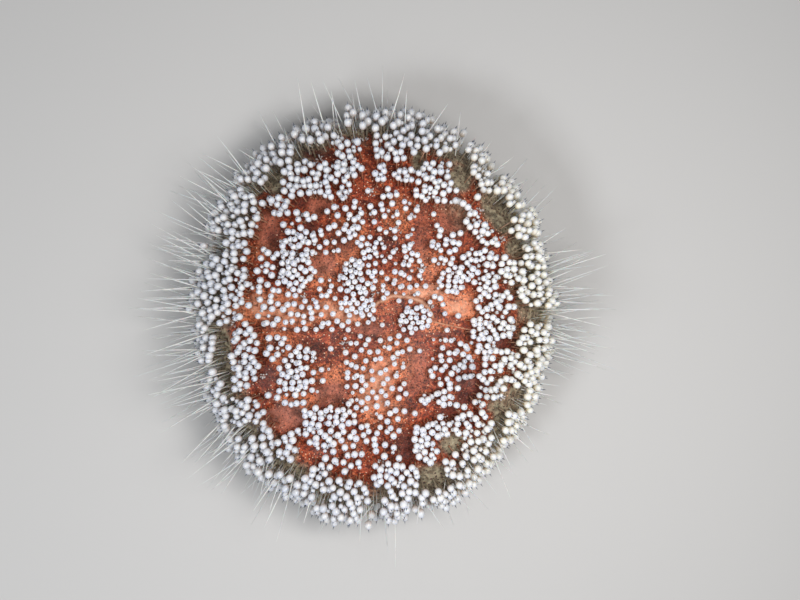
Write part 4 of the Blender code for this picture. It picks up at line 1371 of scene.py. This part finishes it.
rim_needles = []
needle_grid = {}
for _ in range(NEEDLE_DARTS):
    on_left = draw.random() < LEFT_CHANCE
    bearing = draw.gauss(NEEDLE_BEARING, NEEDLE_BEARING_SPREAD) if on_left else draw.uniform(0.0, 360.0)
    below = draw.random() < UNDER_CHANCE
    share = draw.uniform(*NEEDLE_SHARE)
    root, normal = on_skin(bearing, share, below)
    droop = Vector((0.0, 0.0, draw.uniform(-0.2, 0.5)))
    aside = Vector((draw.gauss(0, 0.15), draw.gauss(0, 0.15), 0))
    way = (normal + heading(bearing) * 0.8 + droop + aside).normalized()
    length = draw.uniform(*RIM_NEEDLE_LENGTH)
    clear = passes_sacs(root + way * length * part for part in (0.4, 0.65, 0.85, 1.0))
    if clear and roomy(needle_grid, root, RIM_NEEDLE_GAP):
        rim_needles.append((root - normal * ROOT_DEPTH, way, RIM_NEEDLE_RADIUS, length, NO_BEND,
                            draw.uniform(0.0, TWIST_RANGE), skin_uv(bearing, share, below),
                            (draw.uniform(0.5, 1.0), 0.3, 1.0)))
plant("rim_needles", NEEDLE_TEMPLATE, rim_needles, pale_finish)

# %% [markdown]
# ## Stubby tufts
#
# Here and there small pincers stand in a tuft, pale stubs that spread from one spot. Each tuft is a
# handful of short rods with rounded ends, leaning away from its middle.

# %% Tufts
TUFT_DARTS = 420
TUFT_SHARE = 0.92
TUFT_GAP = 0.0170
TUFT_STUBS = 9
STUB_LEAN = 0.45
STUB_RADIUS = 0.00033
STUB_LENGTH = (0.0016, 0.0026)

stubs = []
tuft_grid = {}
for _ in range(TUFT_DARTS):
    bearing, share = draw.uniform(0.0, 360.0), draw.random() ** 0.5 * TUFT_SHARE
    middle, normal = on_skin(bearing, share)
    clear = passes_sacs(middle + normal * height for height in (0.001, 0.003))
    if clear and roomy(tuft_grid, middle, TUFT_GAP):
        for _ in range(TUFT_STUBS):
            lean = Vector((draw.gauss(0, 1), draw.gauss(0, 1), draw.gauss(0, 1))) * STUB_LEAN
            base = middle + lean * 0.0007 - normal * 0.0006
            stubs.append(stand(base, (normal + lean).normalized(), STUB_RADIUS, draw.uniform(*STUB_LENGTH),
                               skin_uv(bearing, share)))
stub_finish = dome_material("pale_stub", (0.34, 0.15, 0.10), (0.50, 0.38, 0.33), (0.62, 0.58, 0.58))
STUB_TEMPLATE = make_rod(5, 3, lambda height: 0.8 + 0.5 * math.sin(2.6 * height) * height)
plant("stub_tufts", STUB_TEMPLATE, stubs, stub_finish)

# %% [markdown]
# ## The apex
#
# In the middle of the back lies the apical disc: a granular, reddish patch round the vent, with five small
# papillae, one at the head of each wide field. A pale ridge curves beside it, and a thin seam leads on from
# the ridge. Both are rows of low domes that overlap until they melt into one welt, because that follows
# the folds of the skin more closely than a bent tube would.

# %% Apex
APEX_HEIGHT = 0.0580
PERIPROCT_RADIUS = 0.0044
APEX_DARTS = 900
APEX_GAP = 0.00052
APEX_GAP_GROWTH = 0.0004
APEX_GRAIN_RADIUS = (0.00022, 0.00036)
APEX_GRAIN_HEIGHT = 0.00050
PAPILLA_RING = 0.0085
PAPILLA_RADIUS = 0.0008
PAPILLA_HEIGHT = 0.0017
PAPILLA_SINK = 0.0003
RIDGE_LINE = ((-4.4, 0.0), (1.7, 6.2), (8.5, 9.2), (16.0, 8.6), (21.5, 6.8), (24.9, 4.1), (27.7, -1.4))
SUTURE_LINE = ((25.6, -2.7), (34.0, -4.6), (44.7, -6.8), (55.0, -8.4))
LINE_SPACING = 0.60
UP = Vector((0.0, 0.0, 1.0))


def under_sight(x, y, height):
    """The point at a height that is seen at a place, in millimetres right of and above the disc's middle."""
    on_plane = aim + right * (x / 1000.0 - aim.x) + upward * (y / 1000.0 - aim.y)
    ray = on_plane - camera.location
    return camera.location + ray * ((height - camera.location.z) / ray.z)


def domes_on_line(line, width, height):
    """Overlapping domes that stand along a line of seen places."""
    domes = []
    for (x0, y0), (x1, y1) in zip(line, line[1:]):
        count = max(1, round(math.hypot(x1 - x0, y1 - y0) / LINE_SPACING))
        for step in range(count):
            part = (step + draw.uniform(-0.3, 0.3)) / count
            bearing, share = plan_of(under_sight(x0 + (x1 - x0) * part, y0 + (y1 - y0) * part, APEX_HEIGHT))
            place, normal = on_skin(bearing, share)
            domes.append(stand(place - normal * DOME_SINK, normal, width * draw.uniform(0.7, 1.2), height,
                               skin_uv(bearing, share)))
    return domes


ridge = domes_on_line(RIDGE_LINE, 0.00130, 0.0008)
sutures = domes_on_line(SUTURE_LINE, 0.00048, 0.0004)
apex_grains, papillae = [], []
apex_grid = {}
for _ in range(APEX_DARTS):
    bearing = draw.uniform(0.0, 360.0)
    distance = math.sqrt(draw.random()) * PERIPROCT_RADIUS
    share = distance / skin_reach(bearing)
    place, _ = on_skin(bearing, share)
    if roomy(apex_grid, place, APEX_GAP + APEX_GAP_GROWTH * distance / PERIPROCT_RADIUS):
        radius = draw.uniform(*APEX_GRAIN_RADIUS) * (0.8 + 0.5 * distance / PERIPROCT_RADIUS)
        base = place - UP * DOME_SINK
        apex_grains.append(stand(base, UP, radius, APEX_GRAIN_HEIGHT, skin_uv(bearing, share)))
for first, last, narrow in FIELDS:
    if not narrow:
        bearing = (first + last) / 2
        share = PAPILLA_RING / skin_reach(bearing)
        place, normal = on_skin(bearing, share)
        papillae.append((place - normal * PAPILLA_SINK, normal, PAPILLA_RADIUS, PAPILLA_HEIGHT, NO_BEND, 0.0,
                         skin_uv(bearing, share), (draw.random(), 0.0, 1.0)))
apex_finish = dome_material("apex_grain", (0.20, 0.05, 0.03), (0.44, 0.15, 0.08), (0.62, 0.30, 0.18))
ridge_finish = dome_material("pale_ridge", (0.42, 0.14, 0.07), (0.52, 0.21, 0.12), (0.62, 0.32, 0.20))
plant("apex_grains", DOME_TEMPLATE, apex_grains, apex_finish)
plant("genital_papillae", DOME_TEMPLATE, papillae, ridge_finish)
plant("apex_ridge", DOME_TEMPLATE, ridge + sutures, ridge_finish)

# %% [markdown]
# ## Blunt spines and tube feet
#
# The urchin walks on short, blunt spines, each ending in a pale hoof, and the whole body rests on them.
# They stand in rings, more of them the wider the ring, and half of them touch the floor. Between them, in
# five double rows, stand soft tube feet with a small sucker. The spine is a rod flared into a hoof, and
# the foot is a thin rod with a wide, flat end.

# %% The finish of the blunt spines
def banded_material(name, light, dark, hoof):
    """Pale with darker bands, and a paler hoof."""
    painter = Painter(name)
    chance, along, _, _ = painter.attribute("tint")
    bands = painter.stretch(painter.maths("SINE", painter.times(along, 19.0)), -0.2, 0.5)
    colour = painter.mix(bands, light, dark)
    colour = painter.mix(painter.times(chance, 0.4), colour, dark)
    colour = painter.mix(painter.stretch(along, 0.74, 0.84), colour, hoof)
    mottle = painter.stretch(painter.noise(900.0), 0.4, 0.7, 0.0, 0.3)
    return painter.finish(painter.mix(mottle, colour, light), Roughness=0.42)


foot_finish = banded_material("blunt_spine", (0.56, 0.42, 0.28), (0.24, 0.10, 0.06), (0.80, 0.74, 0.62))
tube_finish = dome_material("tube_foot", (0.55, 0.22, 0.12), (0.72, 0.40, 0.26), (0.85, 0.66, 0.52))

# %% Feet
FOOT_RINGS = ((0.24, 16), (0.33, 30), (0.42, 42), (0.51, 54), (0.60, 64), (0.69, 72), (0.78, 78), (0.87, 80))
FOOT_RADIUS = (0.00055, 0.00082)
FOOT_SPLAY = 0.0030
FOOT_CLEARANCE = 0.0002
TUBE_STEPS = 26
TUBE_RADIUS = 0.00042
TUBE_LENGTH = (0.0050, 0.0080)
TUBE_CLEARANCE = 0.0008
HOOF_TEMPLATE = make_rod(6, 6, lambda height: 1.0 - 0.15 * height + 0.65 * soft_step(0.72, 0.90, height)
                         - 0.25 * soft_step(0.9, 1.0, height))
TUBE_TEMPLATE = make_rod(6, 6, lambda height: 1.1 - 0.35 * height + 1.1 * soft_step(0.84, 0.97, height))

feet, tubes = [], []
for share, count in FOOT_RINGS:
    for index in range(count):
        bearing = 360.0 * (index + draw.uniform(0.15, 0.85)) / count
        place = share + draw.uniform(-0.035, 0.035)
        root, _ = on_skin(bearing, place, True)
        base = root + UP * ROOT_DEPTH
        lift = FOOT_CLEARANCE if draw.random() < 0.5 else draw.uniform(0.0005, 0.0040)
        foot = root + heading(bearing) * FOOT_SPLAY * share
        foot.z = lift
        way = foot - base
        feet.append(stand(base, way.normalized(), draw.uniform(*FOOT_RADIUS), way.length,
                          skin_uv(bearing, place, True)))
for middle in AMBULACRUM_BEARINGS:
    for step in range(TUBE_STEPS):
        for side in (-1, 1):
            place = 0.24 + 0.74 * step / TUBE_STEPS + draw.uniform(-0.01, 0.01)
            bearing = middle + side * draw.uniform(3.5, 8.0)
            root, normal = on_skin(bearing, place, True)
            base = root - normal * ROOT_DEPTH
            aside = Vector((draw.gauss(0, 0.25), draw.gauss(0, 0.25), 0))
            way = (normal + heading(bearing) * 0.4 + aside).normalized()
            length = min(draw.uniform(*TUBE_LENGTH), (base.z - TUBE_CLEARANCE) / max(0.05, -way.z))
            tubes.append(stand(base, way, TUBE_RADIUS, length, skin_uv(bearing, place, True)))
plant("blunt_spines", HOOF_TEMPLATE, feet, foot_finish)
plant("tube_feet", TUBE_TEMPLATE, tubes, tube_finish)

# %% [markdown]
# ## The lip
#
# The mouth lies in the middle of the under side, with a frilled ring of lip round it. The ring is made as
# a torus, pressed flat and gathered into folds on its inner side. Planted folds would show their joints,
# and the torus stays one smooth piece.

# %% Lip
LIP_RADIUS = 0.0070
LIP_THICKNESS = 0.0016
LIP_SEGMENTS = 144
LIP_FOLDS = 24
FOLD_DRIFT = 0.8
FOLD_ROUGHNESS = 0.5
LIP_FLATNESS = 0.72
FOLD_LIFT = 0.16
FOLD_PINCH = 0.045


def lip_material():
    painter = Painter("mouth_lip")
    patches = painter.stretch(painter.noise(500.0), 0.35, 0.65)
    painter.bump(painter.noise(1200.0), 0.0002, 0.6)
    return painter.finish(painter.mix(patches, (0.34, 0.11, 0.07), (0.62, 0.30, 0.20)), Roughness=0.4,
                          Subsurface_Weight=0.15, Subsurface_Scale=0.001)


bpy.ops.object.select_all(action="DESELECT")
bpy.ops.mesh.primitive_torus_add(
    major_radius=LIP_RADIUS, minor_radius=LIP_THICKNESS, major_segments=LIP_SEGMENTS, minor_segments=12,
    location=(AXIS.x, AXIS.y, SOLE_HEIGHT))
lip = bpy.context.object
lip.name = "lip"
bpy.ops.object.transform_apply(location=True)
for vertex in lip.data.vertices:
    offset = vertex.co - AXIS
    angle = math.atan2(offset.y, offset.x)
    wave = math.sin(LIP_FOLDS * angle + FOLD_DRIFT * math.sin(5.0 * angle))
    wave += FOLD_ROUGHNESS * noise.noise(vertex.co * 300.0)
    outer_rim = LIP_RADIUS + LIP_THICKNESS
    inward = min(1.0, max(0.0, (outer_rim - offset.to_2d().length) / (2.0 * LIP_THICKNESS)))
    vertex.co.z = SOLE_HEIGHT + (vertex.co.z - SOLE_HEIGHT) * (LIP_FLATNESS + FOLD_LIFT * wave)
    vertex.co.x = AXIS.x + offset.x * (1.0 - FOLD_PINCH * wave * inward)
    vertex.co.y = AXIS.y + offset.y * (1.0 - FOLD_PINCH * wave * inward)
lip.data.shade_smooth()
lip.data.materials.append(lip_material())
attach(lip, "root")
print("lip faces", len(lip.data.polygons))

# %% [markdown]
# ## Plates of the mouth
#
# The soft disc inside and outside the lip is paved with small, flat plates that lie loose in the skin. They
# are planted like the dots, as wide, low domes, with darts that keep a plate's width apart.

# %% Mouth plates
PLATE_DARTS = 1400
PLATE_RING = (0.0028, 0.0155)
PLATE_GAP = 0.0014
PLATE_RADIUS = 0.00085
PLATE_HEIGHT = 0.00045
PLATE_TEMPLATE = make_rod(8, 2, lambda height: math.sqrt(1.0 - 0.70 * height * height))

plates = []
plate_grid = {}
for _ in range(PLATE_DARTS):
    bearing = draw.uniform(0.0, 360.0)
    distance = draw.uniform(*PLATE_RING)
    if abs(distance - LIP_RADIUS) >= LIP_THICKNESS:
        share = distance / skin_reach(bearing)
        place, _ = on_skin(bearing, share, True)
        if roomy(plate_grid, place, PLATE_GAP):
            plates.append(stand(place + UP * DOME_SINK, -UP, PLATE_RADIUS, PLATE_HEIGHT,
                                skin_uv(bearing, share, True)))
plate_finish = dome_material("mouth_plate", (0.18, 0.06, 0.04), (0.46, 0.22, 0.14), (0.66, 0.44, 0.30))
plant("mouth_plates", PLATE_TEMPLATE, plates, plate_finish)

# %% [markdown]
# ## Teeth
#
# Five white teeth meet in the middle of the mouth. Each is a narrow block, cut into smaller faces, tapered
# towards its tip and leant inwards, because a tooth of this kind is a straight chisel with flat sides.

# %% Teeth
TOOTH_WIDTH = 0.0020
TOOTH_DEPTH = 0.0016
TOOTH_LENGTH = 0.0062
TOOTH_RING = 0.0019
TOOTH_TOP = 0.0018
TOOTH_TAPER = 0.75
TOOTH_LEAN = 0.80
FIRST_TOOTH_BEARING = 54.0


def tooth_material():
    painter = Painter("tooth_white")
    patches = painter.stretch(painter.noise(700.0), 0.35, 0.65)
    return painter.finish(painter.mix(patches, (0.66, 0.60, 0.50), (0.84, 0.81, 0.74)), Roughness=0.28)


tooth_finish = tooth_material()
bpy.ops.object.select_all(action="DESELECT")
for index in range(len(AMBULACRUM_BEARINGS)):
    centre = (TOOTH_RING, 0.0, -TOOTH_LENGTH / 2)
    bpy.ops.mesh.primitive_cube_add(size=1.0, location=centre)
    tooth = bpy.context.object
    tooth.name = f"tooth_{index + 1}"
    bpy.ops.object.mode_set(mode="EDIT")
    bpy.ops.transform.resize(value=(TOOTH_DEPTH, TOOTH_WIDTH, TOOTH_LENGTH), center_override=centre)
    bpy.ops.mesh.subdivide(number_cuts=3)
    bpy.ops.object.mode_set(mode="OBJECT")
    bpy.ops.object.transform_apply(location=True)
    for vertex in tooth.data.vertices:
        down = -vertex.co.z / TOOTH_LENGTH
        narrow = 1.0 - TOOTH_TAPER * down ** 2
        vertex.co.y *= narrow
        vertex.co.x = TOOTH_RING * (1.0 - TOOTH_LEAN * down) + (vertex.co.x - TOOTH_RING) * narrow
    angle = math.radians(360.0 * index / len(AMBULACRUM_BEARINGS) + FIRST_TOOTH_BEARING)
    place = Matrix.Translation((AXIS.x, AXIS.y, SOLE_HEIGHT + TOOTH_TOP))
    tooth.data.transform(place @ Matrix.Rotation(angle, 4, "Z"))
    bpy.ops.object.shade_smooth_by_angle(angle=math.radians(40.0))
    tooth.data.materials.append(tooth_finish)
    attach(tooth, "root")
print("teeth", len(AMBULACRUM_BEARINGS))
